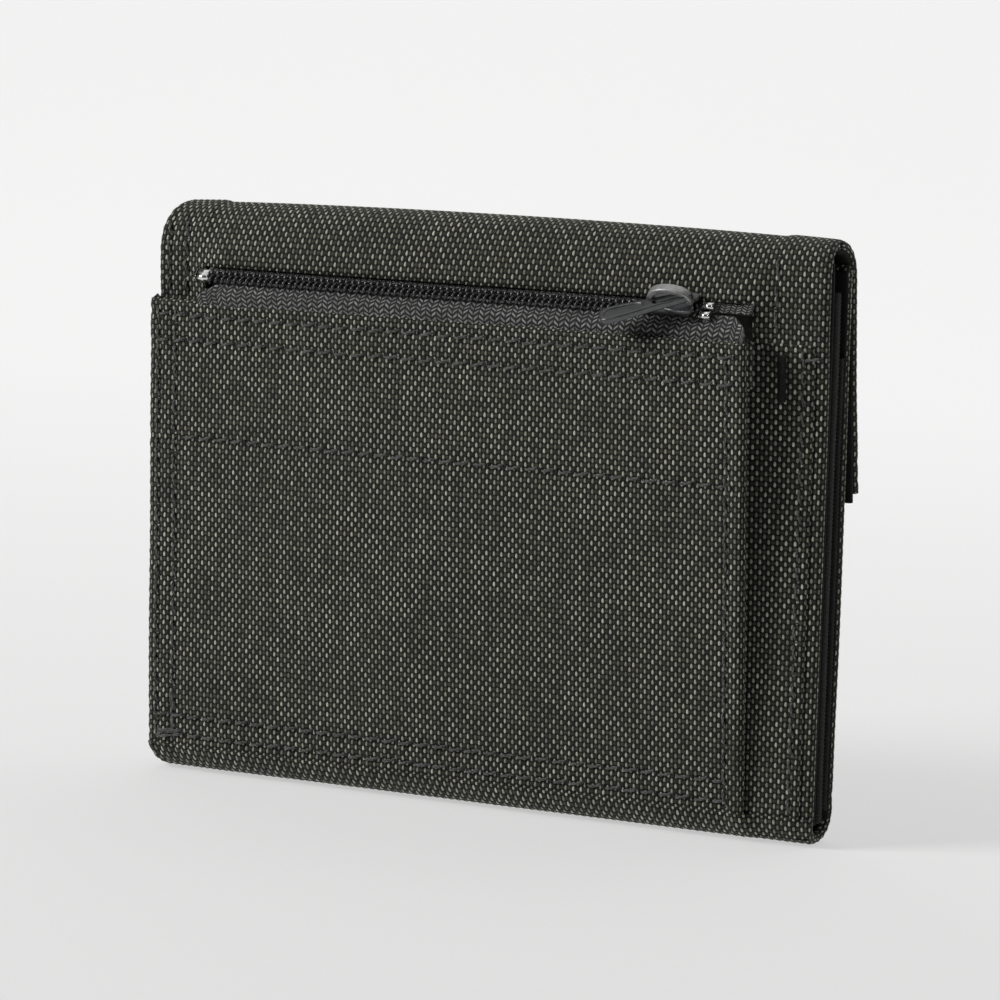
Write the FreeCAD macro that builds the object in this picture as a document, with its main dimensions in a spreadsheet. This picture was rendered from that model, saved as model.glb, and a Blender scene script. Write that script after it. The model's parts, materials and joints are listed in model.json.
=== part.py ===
"""Bifold wallet of melange cloth: a back half with a zipped coin pocket, a front half that
folds about the spine, and a closing flap that folds over the top. Millimetres; the wallet is
closed and stands on its spine, +Z up, with the coin pocket on the -Y side."""

import FreeCAD, Part
import os

import Sketcher
from FreeCAD import Placement, Rotation, Vector

SIZES = [
    # overall
    ("overall_width", 115.0, "whole wallet, along X"),
    ("overall_height", 92.0, "closed wallet, along Z"),
    ("spine_depth", 9.0, "outer face of the back half to outer face of the front half"),
    # cloth and boards
    ("cloth", 0.6, "outer melange cloth"),
    ("lining", 0.4, "inner lining and card slot cloth"),
    ("board", 1.0, "stiffener board inside each half"),
    ("board_inset", 3.0, "stiffener and lining edge inside the cloth edge"),
    ("fit_gap", 0.1, "gap between neighbours that move apart"),
    # spine
    ("fold_height", 3.4, "height of the channel of cloth under both halves"),
    ("fold_cut", 1.5, "slanting cut across each lower corner of the spine fold"),
    # inside
    ("bill_gap", 0.8, "bill pocket between the back lining and its divider"),
    ("divider_drop", 8.0, "bill divider's top edge below the wallet's top"),
    ("slot_drop", 18.0, "first card slot's top edge below the wallet's top"),
    ("slot_step", 12.0, "each card slot's top edge below the one behind it"),
    ("slot_base", 5.0, "card slots' lower edge above the floor"),
    ("binding", 1.4, "width of the grosgrain binding seen on the inner edges"),
    ("binding_fold", 0.4, "grosgrain standing proud of the stack on each side"),
    # front half
    ("front_drop", 4.0, "front half's top edge below the wallet's top"),
    ("closure_pile", 1.2, "thickness of the hook tape and of the loop tape"),
    ("closure_inset", 6.0, "end of the hook and loop tapes inside the side edge"),
    ("hook_height", 15.0, "height of the hook tape"),
    ("loop_height", 18.0, "height of the loop tape"),
    ("loop_drop", 26.0, "loop tape's upper edge below the wallet's top"),
    # flap
    ("flap_standoff", 1.4, "flap's front fold off the front half's outer face"),
    ("flap_length", 39.0, "hanging part of the flap"),
    ("flap_lean", 9.0, "angle by which the hanging part stands away, degrees"),
    # yoke above the zip
    ("yoke_drop", 9.4, "yoke's lower edge below the wallet's top"),
    ("yoke_behind", 1.6, "inner face of the yoke's lower edge behind the middle of the zip chain"),
    # zip
    ("chain_drop", 11.6, "middle of the zip chain below the wallet's top"),
    ("chain_standoff", 3.3, "middle of the zip chain off the back panel"),
    ("zip_tilt", 40.0, "angle by which the zip faces upwards, degrees"),
    ("chain_start", 11.1, "chain's left end inside the wallet's left edge"),
    ("chain_length", 84.6, "both coils"),
    ("coil_split", 0.35, "half of the gap between the two coils"),
    ("coil_width", 1.1, "one coil, across the chain"),
    ("coil_height", 0.85, "coil above its tape"),
    ("tape", 0.4, "knitted zip tape"),
    ("tape_reach", 2.55, "flat part of each tape, from the chain's middle"),
    ("tape_hold", 3.0, "part of each tape sewn behind the cloth"),
    ("stop_length", 2.0, "metal end stop"),
    # slider
    ("slider_length", 8.4, "slider body, along the chain"),
    ("slider_width", 4.4, "slider body, across the chain"),
    ("slider_rest", 23.8, "slider's middle inside the wallet's right edge, zip closed"),
    ("plate", 0.7, "each plate of the slider"),
    ("slider_lean", 11.0, "extra tilt of the loosely held slider, degrees"),
    ("slider_gap", 0.45, "clearance of the coils and tapes in the slider"),
    ("neck_half", 0.15, "half thickness of the web between the slider's plates"),
    ("crown_length", 7.4, "slider's arched crown, along the chain"),
    ("crown_rise", 3.0, "crown above the slider's face"),
    ("crown_width", 1.4, "crown, across the chain"),
    ("crown_bar", 0.8, "thickness of the crown's bar"),
    # pull tab
    ("pull_length", 17.0, "pull tab, from its pin to its tip"),
    ("pull_width", 4.4, "pull tab, across the chain"),
    ("pull_thick", 1.0, "pull tab and its pin"),
    ("pull_gap", 0.35, "clearance of the pull tab round the crown and off the slider"),
    ("pull_corner", 1.4, "slanting cut across each corner of the pull tab's tip"),
    # coin pocket
    ("pocket_drop", 15.4, "coin pocket's upper edge below the wallet's top"),
    ("pocket_base", 2.0, "coin pocket's lower edge above the floor"),
    ("pocket_inset", 10.5, "pocket's right edge inside the wallet's right edge"),
    ("pocket_cloth", 0.8, "pocket front with its turned hems"),
    ("proud_left_top", 4.0, "pocket front off the back panel, upper left corner"),
    ("proud_left_base", 2.4, "the same, lower left corner"),
    ("proud_right_top", 7.4, "the same, upper right corner"),
    ("proud_right_base", 2.6, "the same, lower right corner"),
    ("hem", 4.0, "width of the turned hems at the left and the bottom"),
    ("facing_drop", 22.6, "lower edge of the pocket front's facing below its upper edge"),
    ("gusset_reach", 6.8, "depth of the bellows fold at the pocket's right edge"),
    ("gusset_wall", 0.5, "cloth of the bellows fold"),
    ("flange_inset", 1.9, "gusset flange's edge inside the wallet's right edge"),
    ("tack_length", 7.0, "bar tack on the gusset flange"),
    ("tack_width", 1.5, "bar tack on the gusset flange"),
]

doc = FreeCAD.newDocument("bifold_wallet")
sheet = doc.addObject("Spreadsheet::Sheet", "sizes")
for row, (alias, value, meaning) in enumerate(SIZES, start=1):
    sheet.set(f"A{row}", meaning)
    sheet.set(f"B{row}", str(value))
    sheet.setAlias(f"B{row}", alias)
doc.recompute()

NAMES = {alias for alias, value, meaning in SIZES}
pieces = []


def bound(text):
    """Turn a plain sum of size names into an expression on the spreadsheet."""
    words = []
    word = ""
    for letter in text + " ":
        if letter.isalnum() or letter in "_.":
            word += letter
            continue
        words.append(f"sizes.{word}" if word in NAMES else word)
        words.append(letter)
        word = ""
    return "".join(words).strip()


def number(text):
    """The value, in millimetres, of a sum of size names."""
    return float(sheet.evalExpression(bound(text)))


# places that several pieces share, as sums of the sizes above
LEFT = "(-overall_width / 2)"
RIGHT = "(overall_width / 2)"
BACK = "(-spine_depth / 2)"
FRONT = "(spine_depth / 2)"
TOP = "overall_height"
UNDER_TOP = "(overall_height - cloth - fit_gap)"
OVER_FOLD = "(fold_height + fit_gap)"
POCKET_TOP = f"({TOP} - pocket_drop)"
CHAIN_Y = f"({BACK} - chain_standoff)"
YOKE_STANDOFF = "(chain_standoff - yoke_behind)"
CHAIN_Z = f"({TOP} - chain_drop)"
CHAIN_LEFT = f"({LEFT} + chain_start)"
CHAIN_RIGHT = f"({CHAIN_LEFT} + chain_length)"
SLIDER_X = f"({RIGHT} - slider_rest)"
POCKET_RIGHT = f"({RIGHT} - pocket_inset)"
REAR_STACK = f"({BACK} + cloth + board + lining + bill_gap)"
FRONT_STACK = f"({FRONT} - cloth - board - lining)"
FLAP_Y = f"({FRONT} + flap_standoff)"
FLAP_Z = f"({TOP} - cloth)"


def keep(item, label):
    item.Label = label
    pieces.append(item)
    return item


def plate(label, x, y, z, line=None, angle=None):
    """A flat rectangular piece between pairs of places. With a line along X, given as its y
    and z, the piece's own y and z are counted from that line and it is turned about it."""
    box = doc.addObject("Part::Box", label)
    for side, (low, high) in zip(("Length", "Width", "Height"), (x, y, z)):
        box.setExpression(side, bound(f"({high}) - ({low})"))
    box.setExpression("Placement.Base.x", bound(x[0]))
    if line is None:
        box.setExpression("Placement.Base.y", bound(y[0]))
        box.setExpression("Placement.Base.z", bound(z[0]))
        return keep(box, label)
    box.Placement = Placement(Vector(), Rotation(Vector(1, 0, 0), number(angle)))
    box.setExpression("Placement.Rotation.Angle", bound(angle))
    across = f"{line[0]} + ({y[0]}) * cos({angle}) - ({z[0]}) * sin({angle})"
    upward = f"{line[1]} + ({y[0]}) * sin({angle}) + ({z[0]}) * cos({angle})"
    box.setExpression("Placement.Base.x", bound(x[0]))
    box.setExpression("Placement.Base.y", bound(across))
    box.setExpression("Placement.Base.z", bound(upward))
    return keep(box, label)


def body_of(label):
    body = doc.addObject("PartDesign::Body", label)
    return keep(body, label)


def sketch_on(body, role, offset="0"):
    """An empty sketch on one of the body's origin planes, moved along the plane's normal."""
    plane = next(item for item in body.Origin.OriginFeatures if item.Role == role)
    sketch = body.newObject("Sketcher::SketchObject", f"{body.Label}_sketch")
    sketch.AttachmentSupport = [(plane, "")]
    sketch.MapMode = "FlatFace"
    sketch.setExpression("AttachmentOffset.Base.z", bound(offset))
    return sketch


def outline(sketch, corners):
    """A closed outline of straight edges whose corners are held to the sizes."""
    places = [Vector(number(across), number(upward), 0) for across, upward in corners]
    count = len(places)
    for index in range(count):
        edge = Part.LineSegment(places[index], places[(index + 1) % count])
        sketch.addGeometry(edge, False)
    for index in range(count):
        joined = Sketcher.Constraint("Coincident", index, 2, (index + 1) % count, 1)
        sketch.addConstraint(joined)
    for index, corner in enumerate(corners):
        for kind, text in zip(("DistanceX", "DistanceY"), corner):
            held = Sketcher.Constraint(kind, -1, 1, index, 1, number(text))
            where = sketch.addConstraint(held)
            sketch.setExpression(f"Constraints[{where}]", bound(text))
    return sketch


def pad(body, role, corners, length, offset="0"):
    sketch = outline(sketch_on(body, role, offset), corners)
    feature = body.newObject("PartDesign::Pad", f"{body.Label}_pad")
    feature.Profile = sketch
    feature.setExpression("Length", bound(length))
    doc.recompute()
    return feature


def pocket(body, role, corners, length, offset="0"):
    """Cut both ways from the sketch plane; the solid has to get smaller."""
    before = body.Shape.Volume
    sketch = outline(sketch_on(body, role, offset), corners)
    feature = body.newObject("PartDesign::Pocket", f"{body.Label}_pocket")
    feature.Profile = sketch
    feature.Midplane = True
    feature.setExpression("Length", bound(length))
    doc.recompute()
    if body.Shape.Volume > before - 1e-6:
        raise RuntimeError(f"{body.Label}: a pocket cut nothing")
    return feature


def loft(body, role, first, first_offset, last, last_offset):
    """A straight-sided solid between two outlines on parallel planes: cloth that twists."""
    start = outline(sketch_on(body, role, first_offset), first)
    end = outline(sketch_on(body, role, last_offset), last)
    feature = body.newObject("PartDesign::AdditiveLoft", f"{body.Label}_loft")
    feature.Profile = start
    feature.Sections = [end]
    feature.Ruled = True
    doc.recompute()
    return feature


def turn_to_zip(body, x):
    """Stand a body on the zip: its own Z across the chain, its own -Y out of the zip."""
    tilt = number("zip_tilt") + number("slider_lean")
    body.Placement = Placement(Vector(), Rotation(Vector(1, 0, 0), -tilt))
    body.setExpression("Placement.Rotation.Angle", bound("-(zip_tilt + slider_lean)"))
    body.setExpression("Placement.Base.x", bound(x))
    body.setExpression("Placement.Base.y", bound(CHAIN_Y))
    body.setExpression("Placement.Base.z", bound(CHAIN_Z))


def proud(x, height):
    """How far the pocket front's outer face stands off the back panel: it opens like a
    bellows, most at the upper right corner."""
    rise = f"(({height}) - pocket_base) / ({POCKET_TOP} - pocket_base)"
    left = f"(proud_left_base + (proud_left_top - proud_left_base) * {rise})"
    right = f"(proud_right_base + (proud_right_top - proud_right_base) * {rise})"
    share = f"(({x}) - {LEFT}) / ({POCKET_RIGHT} - {LEFT})"
    return f"({left} + ({right} - {left}) * {share})"


def strip_of_front(height, x_low, x_high, near, far):
    """Section of a layer that lies near to far behind the pocket front's outer face."""
    return [
        (x_low, f"{BACK} - {proud(x_low, height)} + {near}"),
        (x_high, f"{BACK} - {proud(x_high, height)} + {near}"),
        (x_high, f"{BACK} - {proud(x_high, height)} + {far}"),
        (x_low, f"{BACK} - {proud(x_low, height)} + {far}"),
    ]


def hem_section(height, x_low, x_high):
    """Section of a turned hem that fills the pocket from its front to the back panel."""
    return [
        (x_low, f"{BACK} - {proud(x_low, height)} + pocket_cloth / 2"),
        (x_high, f"{BACK} - {proud(x_high, height)} + pocket_cloth / 2"),
        (x_high, BACK),
        (x_low, BACK),
    ]


def make_back_half():
    inner = (f"{LEFT} + board_inset", f"{RIGHT} - board_inset")
    upright = (OVER_FOLD, UNDER_TOP)
    plate("back_panel", (LEFT, RIGHT), (BACK, f"{BACK} + cloth"), upright)
    boarded = (f"{OVER_FOLD} + board_inset", f"{UNDER_TOP} - board_inset")
    behind = f"{BACK} + cloth"
    plate("back_stiffener", inner, (behind, f"{behind} + board"), boarded)
    behind = f"{behind} + board"
    plate("back_lining", (LEFT, RIGHT), (behind, f"{behind} + lining"), upright)


def make_rear_pockets():
    side = "(binding + fit_gap)"
    across = (f"{LEFT} + {side}", f"{RIGHT} - {side}")
    divider = (OVER_FOLD, f"{TOP} - divider_drop")
    plate("bill_divider", across, (REAR_STACK, f"{REAR_STACK} + lining"), divider)
    for index in range(3):
        near = f"{REAR_STACK} + lining * {index + 1}"
        height = ("slot_base", f"{TOP} - slot_drop - slot_step * {index}")
        plate(f"rear_card_slot_{index + 1}", across, (near, f"{near} + lining"), height)
    depth = (f"{REAR_STACK} - binding_fold", f"{REAR_STACK} + lining * 4 + binding_fold")
    plate("rear_binding_left", (f"{LEFT} + fit_gap", f"{LEFT} + {side}"), depth, divider)
    plate("rear_binding_right", (f"{RIGHT} - {side}", f"{RIGHT} - fit_gap"), depth, divider)


def make_front_half():
    upright = (OVER_FOLD, f"{TOP} - front_drop")
    inner = (f"{LEFT} + board_inset", f"{RIGHT} - board_inset")
    plate("front_panel", (LEFT, RIGHT), (f"{FRONT} - cloth", FRONT), upright)
    boarded = (f"{OVER_FOLD} + board_inset", f"{TOP} - front_drop - board_inset")
    board_y = (f"{FRONT} - cloth - board", f"{FRONT} - cloth")
    plate("front_stiffener", inner, board_y, boarded)
    plate("front_lining", (LEFT, RIGHT), (FRONT_STACK, f"{FRONT_STACK} + lining"), upright)
    side = "(binding + fit_gap)"
    across = (f"{LEFT} + {side}", f"{RIGHT} - {side}")
    for index in range(2):
        far = f"{FRONT_STACK} - lining * {index}"
        height = ("slot_base", f"{TOP} - slot_drop - slot_step * {index}")
        plate(f"front_card_slot_{index + 1}", across, (f"{far} - lining", far), height)
    depth = (f"{FRONT_STACK} - lining * 2 - binding_fold", FRONT_STACK)
    tall = ("slot_base", f"{TOP} - slot_drop")
    plate("front_binding_left", (f"{LEFT} + fit_gap", f"{LEFT} + {side}"), depth, tall)
    plate("front_binding_right", (f"{RIGHT} - {side}", f"{RIGHT} - fit_gap"), depth, tall)
    taped = (f"{LEFT} + closure_inset", f"{RIGHT} - closure_inset")
    loop_z = (f"{TOP} - loop_drop - loop_height", f"{TOP} - loop_drop")
    plate("front_loop_tape", taped, (FRONT, f"{FRONT} + closure_pile"), loop_z)


def make_spine():
    """Cloth channel that wraps under both halves, and the strip of lining inside it."""
    fold = body_of("spine_fold")
    channel = [
        (BACK, "fold_height"),
        (BACK, "fold_cut"),
        (f"{BACK} + fold_cut", "0"),
        (f"{FRONT} - fold_cut", "0"),
        (FRONT, "fold_cut"),
        (FRONT, "fold_height"),
        (f"{FRONT} - cloth", "fold_height"),
        (f"{FRONT} - cloth", "fold_cut"),
        (f"{FRONT} - fold_cut", "cloth"),
        (f"{BACK} + fold_cut", "cloth"),
        (f"{BACK} + cloth", "fold_cut"),
        (f"{BACK} + cloth", "fold_height"),
    ]
    pad(fold, "YZ_Plane", channel, "overall_width", LEFT)
    inside = (f"{BACK} + fold_cut", f"{FRONT} - fold_cut")
    inner = (f"{LEFT} + fit_gap", f"{RIGHT} - fit_gap")
    plate("spine_lining", inner, inside, ("cloth", "cloth + lining"))


def make_yoke():
    """Cloth above the zip; its lower edge is pushed out by the zip tape behind it."""
    yoke = body_of("back_yoke")
    edge = f"{TOP} - yoke_drop"
    section = [
        (f"{BACK} - {YOKE_STANDOFF} - cloth", edge),
        (f"{BACK} - {YOKE_STANDOFF}", edge),
        (BACK, UNDER_TOP),
        (f"{BACK} - cloth", UNDER_TOP),
    ]
    pad(yoke, "YZ_Plane", section, "overall_width", LEFT)


def make_zip():
    along = (CHAIN_LEFT, CHAIN_RIGHT)
    chain = (CHAIN_Y, CHAIN_Z)
    coil_y = ("-coil_height", "0")
    far = "coil_split + coil_width"
    plate("zip_coil_upper", along, coil_y, ("coil_split", far), chain, "-zip_tilt")
    plate("zip_coil_lower", along, coil_y, (f"-({far})", "-coil_split"), chain, "-zip_tilt")

    def from_chain(outward, upward):
        """Place in y and z of a point given out of the zip and up its tilted tape."""
        across = f"{CHAIN_Y} - ({outward}) * cos(zip_tilt) + ({upward}) * sin(zip_tilt)"
        rise = f"{CHAIN_Z} + ({outward}) * sin(zip_tilt) + ({upward}) * cos(zip_tilt)"
        return across, rise

    upper = body_of("zip_tape_upper")
    bend = from_chain("0", "tape_reach")
    inner_bend = from_chain("-tape", "tape_reach")
    held_top = f"{TOP} - yoke_drop + tape_hold"
    slope = f"{YOKE_STANDOFF} / (yoke_drop - cloth - fit_gap)"
    held_y = f"{BACK} - {YOKE_STANDOFF} + tape_hold * {slope} + fit_gap"
    section = [
        from_chain("0", "coil_split"),
        bend,
        (held_y, held_top),
        (f"{held_y} + tape", held_top),
        inner_bend,
        from_chain("-tape", "coil_split"),
    ]
    pad(upper, "YZ_Plane", section, "chain_length", CHAIN_LEFT)

    lower = body_of("zip_tape_lower")

    def hanging(x):
        """The lower tape leaves the chain, then hangs behind the pocket front."""
        rim = f"{POCKET_TOP} - fit_gap"
        tail = f"{POCKET_TOP} - tape_hold"
        face = f"{BACK} - {proud(x, POCKET_TOP)} + pocket_cloth + fit_gap"
        held = f"{BACK} - {proud(x, tail)} + pocket_cloth + fit_gap"
        return [
            from_chain("0", "-coil_split"),
            from_chain("-tape", "-coil_split"),
            from_chain("-tape", "-tape_reach"),
            (f"{face} + tape", rim),
            (f"{held} + tape", tail),
            (held, tail),
            (face, rim),
            from_chain("0", "-tape_reach"),
        ]

    loft(lower, "YZ_Plane", hanging(CHAIN_LEFT), CHAIN_LEFT, hanging(CHAIN_RIGHT), CHAIN_RIGHT)

    clip_z = (f"-({far})", far)
    clip_y = ("-coil_height - plate / 2", "tape + plate / 2")
    left_end = (f"{CHAIN_LEFT} - stop_length", CHAIN_LEFT)
    plate("zip_bottom_stop", left_end, clip_y, clip_z, chain, "-zip_tilt")
    make_top_stops(far)


def make_top_stops(far):
    """Two small clips, one on the right-hand end of each coil, as separate solids."""
    stops = doc.addObject("Part::Compound", "zip_top_stops")
    clips = []
    ends = (("coil_split", far), (f"-({far})", "-coil_split"))
    for z in ends:
        right_end = (CHAIN_RIGHT, f"{CHAIN_RIGHT} + stop_length")
        clip_y = ("-coil_height", "tape")
        name = f"zip_top_stop_clip_{len(clips) + 1}"
        clips.append(plate(name, right_end, clip_y, z, (CHAIN_Y, CHAIN_Z), "-zip_tilt"))
        pieces.pop()
    stops.Links = clips
    keep(stops, "zip_top_stops")


def make_slider():
    """Slider body: two plates and the thin web between them, with a channel for each coil."""
    slider = body_of("zip_slider_body")
    turn_to_zip(slider, SLIDER_X)
    half_length = "slider_length / 2"
    half_width = "slider_width / 2"
    face = "(coil_height + slider_gap + plate)"
    base = "(tape + slider_gap + plate)"
    nose = "slider_width / 4"
    shield = [
        (f"-{half_length}", f"-{nose}"),
        (f"-{half_length} + {nose}", f"-{half_width}"),
        (half_length, f"-{half_width}"),
        (half_length, half_width),
        (f"-{half_length} + {nose}", half_width),
        (f"-{half_length}", nose),
    ]
    pad(slider, "XZ_Plane", shield, f"{face} + {base}", f"-{base}")
    for side in ("", "-"):
        channel = [
            (f"-({face} - plate)", f"{side}neck_half"),
            (f"{base} - plate", f"{side}neck_half"),
            (f"{base} - plate", f"{side}slider_width"),
            (f"-({face} - plate)", f"{side}slider_width"),
        ]
        pocket(slider, "YZ_Plane", channel, "slider_length * 2")

    crown = body_of("zip_slider_crown")
    turn_to_zip(crown, SLIDER_X)
    reach = "crown_length / 2"
    slope = "crown_rise / 3"
    arch = [
        (f"-{reach}", f"-{face}"),
        (f"-{reach}", f"-({face} + crown_rise - {slope})"),
        (f"-{reach} + {slope}", f"-({face} + crown_rise)"),
        (f"{reach} - {slope}", f"-({face} + crown_rise)"),
        (reach, f"-({face} + crown_rise - {slope})"),
        (reach, f"-{face}"),
        (f"{reach} - crown_bar", f"-{face}"),
        (f"{reach} - crown_bar", f"-({face} + crown_rise - crown_bar)"),
        (f"-{reach} + crown_bar", f"-({face} + crown_rise - crown_bar)"),
        (f"-{reach} + crown_bar", f"-{face}"),
    ]
    pad(crown, "XY_Plane", arch, "crown_width", "-crown_width / 2")


def make_pull():
    """Pull tab: a flat bar with a long eye. The eye's end is the pin inside the crown."""
    pull = body_of("zip_pull_tab")
    turn_to_zip(pull, SLIDER_X)
    face = "(coil_height + slider_gap + plate)"
    pin = "(crown_length / 2 - crown_bar - pull_gap - pull_thick / 2)"
    right_end = f"{pin} + pull_thick / 2"
    left_end = f"{pin} - pull_length"
    half = "pull_width / 2"
    blade = [
        (f"{left_end} + pull_corner", f"-{half}"),
        (right_end, f"-{half}"),
        (right_end, half),
        (f"{left_end} + pull_corner", half),
        (left_end, f"{half} - pull_corner"),
        (left_end, f"-{half} + pull_corner"),
    ]
    pad(pull, "XZ_Plane", blade, "pull_thick", f"{face} + pull_gap")
    eye_left = "-(crown_length / 2 + pull_gap * 2)"
    eye_half = "(crown_width / 2 + pull_gap)"
    eye = [
        (eye_left, f"-{eye_half}"),
        (f"{pin} - pull_thick / 2", f"-{eye_half}"),
        (f"{pin} - pull_thick / 2", eye_half),
        (eye_left, eye_half),
    ]
    pocket(pull, "XZ_Plane", eye, "pull_thick * 3", f"{face} + pull_gap")


def make_coin_pocket():
    front = body_of("coin_pocket_front")
    low = strip_of_front("pocket_base", LEFT, POCKET_RIGHT, "0", "pocket_cloth")
    high = strip_of_front(POCKET_TOP, LEFT, POCKET_RIGHT, "0", "pocket_cloth")
    loft(front, "XY_Plane", low, "pocket_base", high, POCKET_TOP)
    side = (LEFT, f"{LEFT} + hem")
    loft(
        front,
        "XY_Plane",
        hem_section("pocket_base", *side),
        "pocket_base",
        hem_section(POCKET_TOP, *side),
        POCKET_TOP,
    )
    fold_left = f"({POCKET_RIGHT} - gusset_reach - fit_gap * 2)"
    base = (f"{LEFT} + hem / 2", fold_left)
    loft(
        front,
        "XY_Plane",
        hem_section("pocket_base", *base),
        "pocket_base",
        hem_section("pocket_base + hem", *base),
        "pocket_base + hem",
    )

    facing = body_of("coin_pocket_facing")
    across = (f"{LEFT} + hem + fit_gap", f"{fold_left} - fit_gap")
    facing_base = f"{POCKET_TOP} - facing_drop"
    facing_top = f"{POCKET_TOP} - tape_hold - fit_gap"
    behind = ("pocket_cloth", "pocket_cloth + lining")
    loft(
        facing,
        "XY_Plane",
        strip_of_front(facing_base, *across, *behind),
        facing_base,
        strip_of_front(facing_top, *across, *behind),
        facing_top,
    )

    def bellows(height):
        """Section of the gusset: a V fold that opens to the right, then the flat flange."""
        inside = f"{BACK} - {proud(POCKET_RIGHT, height)} + pocket_cloth + fit_gap / 2"
        middle = f"({inside} + {BACK}) / 2"
        fold_tip = f"{POCKET_RIGHT} - gusset_reach"
        outer = f"{RIGHT} - flange_inset"
        return [
            (POCKET_RIGHT, inside),
            (fold_tip, middle),
            (POCKET_RIGHT, BACK),
            (outer, BACK),
            (outer, f"{BACK} - gusset_wall"),
            (f"{POCKET_RIGHT} + gusset_wall", f"{BACK} - gusset_wall"),
            (f"{fold_tip} + gusset_wall * 4", middle),
            (POCKET_RIGHT, f"{inside} + gusset_wall"),
        ]

    gusset = body_of("coin_pocket_gusset")
    loft(
        gusset,
        "XY_Plane",
        bellows("pocket_base"),
        "pocket_base",
        bellows(POCKET_TOP),
        POCKET_TOP,
    )
    middle_x = f"({POCKET_RIGHT} + {RIGHT} - flange_inset) / 2"
    tack_x = (f"{middle_x} - tack_width / 2", f"{middle_x} + tack_width / 2")
    tack_y = (f"{BACK} - gusset_wall - lining", f"{BACK} - gusset_wall")
    tack_z = (f"{POCKET_TOP} - hem / 2 - tack_length", f"{POCKET_TOP} - hem / 2")
    plate("bar_tack", tack_x, tack_y, tack_z)


def make_flap():
    over = (f"{BACK} - cloth", FLAP_Y)
    plate("flap_top_strip", (LEFT, RIGHT), over, (FLAP_Z, TOP))
    past_back = f"{BACK} + cloth + board + lining + fit_gap"
    lined = (past_back, f"{FLAP_Y} - cloth - lining - fit_gap * 2")
    inner = (f"{LEFT} + board_inset", f"{RIGHT} - board_inset")
    plate("flap_top_lining", inner, lined, (f"{FLAP_Z} - lining", FLAP_Z))
    fold = (FLAP_Y, FLAP_Z)
    hang = ("-flap_length", "-fit_gap")
    plate("flap_panel", (LEFT, RIGHT), ("-cloth", "0"), hang, fold, "flap_lean")
    lined = ("-cloth - lining", "-cloth")
    lined_z = ("-flap_length - cloth", "-fit_gap * 3")
    plate("flap_lining", inner, lined, lined_z, fold, "flap_lean")
    hook_x = (f"{LEFT} + closure_inset", f"{RIGHT} - closure_inset")
    hook_y = ("-cloth - lining - closure_pile", "-cloth - lining")
    hook_z = ("-flap_length", "-flap_length + hook_height")
    plate("flap_hook_tape", hook_x, hook_y, hook_z, fold, "flap_lean")


make_back_half()
make_rear_pockets()
make_front_half()
make_spine()
make_yoke()
make_coin_pocket()
make_zip()
make_slider()
make_pull()
make_flap()
doc.recompute()

for item in doc.Objects:
    if "Invalid" in item.State or "Error" in item.State:
        raise RuntimeError(f"{item.Label} did not build: {item.State}")
os.makedirs("parts", exist_ok=True)
for piece in pieces:
    if piece.Shape.isNull() or not piece.Shape.isValid():
        raise RuntimeError(f"{piece.Label} has no valid shape")
for piece in pieces:
    piece.Shape.exportStep(f"parts/{piece.Label}.step")
print(len(pieces), "pieces written")
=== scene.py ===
"""Looks of the bifold wallet: melange cloth shell, zipped coin pocket, closing flap, grosgrain
bindings and the zip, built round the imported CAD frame. Lengths are in millimetres until a mesh
is made, and the frame's axes are kept: +Z up, -Y towards the coin pocket."""

import json
import math

import bpy
import numpy as np
from mathutils import Matrix, Vector


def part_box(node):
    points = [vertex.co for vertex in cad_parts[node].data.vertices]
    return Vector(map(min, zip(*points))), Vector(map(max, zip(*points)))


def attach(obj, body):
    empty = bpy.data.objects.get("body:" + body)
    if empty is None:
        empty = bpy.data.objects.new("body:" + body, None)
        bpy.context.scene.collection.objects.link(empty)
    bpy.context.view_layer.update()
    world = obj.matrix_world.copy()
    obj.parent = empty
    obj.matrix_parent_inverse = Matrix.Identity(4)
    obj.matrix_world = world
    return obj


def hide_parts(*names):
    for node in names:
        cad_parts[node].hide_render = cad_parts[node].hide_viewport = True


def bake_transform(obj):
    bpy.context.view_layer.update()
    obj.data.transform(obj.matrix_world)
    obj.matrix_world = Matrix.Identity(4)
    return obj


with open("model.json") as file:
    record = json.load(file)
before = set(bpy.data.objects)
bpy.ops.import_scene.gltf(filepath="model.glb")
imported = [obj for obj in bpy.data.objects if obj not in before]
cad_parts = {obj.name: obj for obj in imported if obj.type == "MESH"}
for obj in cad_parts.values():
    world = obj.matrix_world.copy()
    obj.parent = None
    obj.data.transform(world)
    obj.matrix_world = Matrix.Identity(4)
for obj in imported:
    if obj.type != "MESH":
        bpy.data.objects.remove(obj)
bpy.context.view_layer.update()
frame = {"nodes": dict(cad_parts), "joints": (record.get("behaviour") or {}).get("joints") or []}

MM = 0.001


def span(node):
    """Lowest and highest corner of a CAD node, in millimetres."""
    low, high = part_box(node)
    return np.array(low) / MM, np.array(high) / MM


back_low, back_high = span("back_panel")
front_high = span("front_panel")[1]
strip_low, strip_high = span("flap_top_strip")
flap_low, flap_high = span("flap_panel")
pocket_low, pocket_high = span("coin_pocket_front")
gusset_low = span("coin_pocket_gusset")[0]
yoke_low = span("back_yoke")[0]
coil_low, coil_high = span("zip_coil_lower")
upper_low, upper_high = span("zip_coil_upper")
slider_low, slider_high = span("zip_slider_body")

HALF = back_high[0]
BACK_Y = back_low[1]
FRONT_Y = front_high[1]
TOP_Z = strip_high[2]
CREST_Y = (strip_low[1] + strip_high[1]) / 2
# height where the cloth of each half meets the spine's cloth, and the shell cloth's thickness
JOIN_Z = 4.6
CLOTH = 0.6
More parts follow.
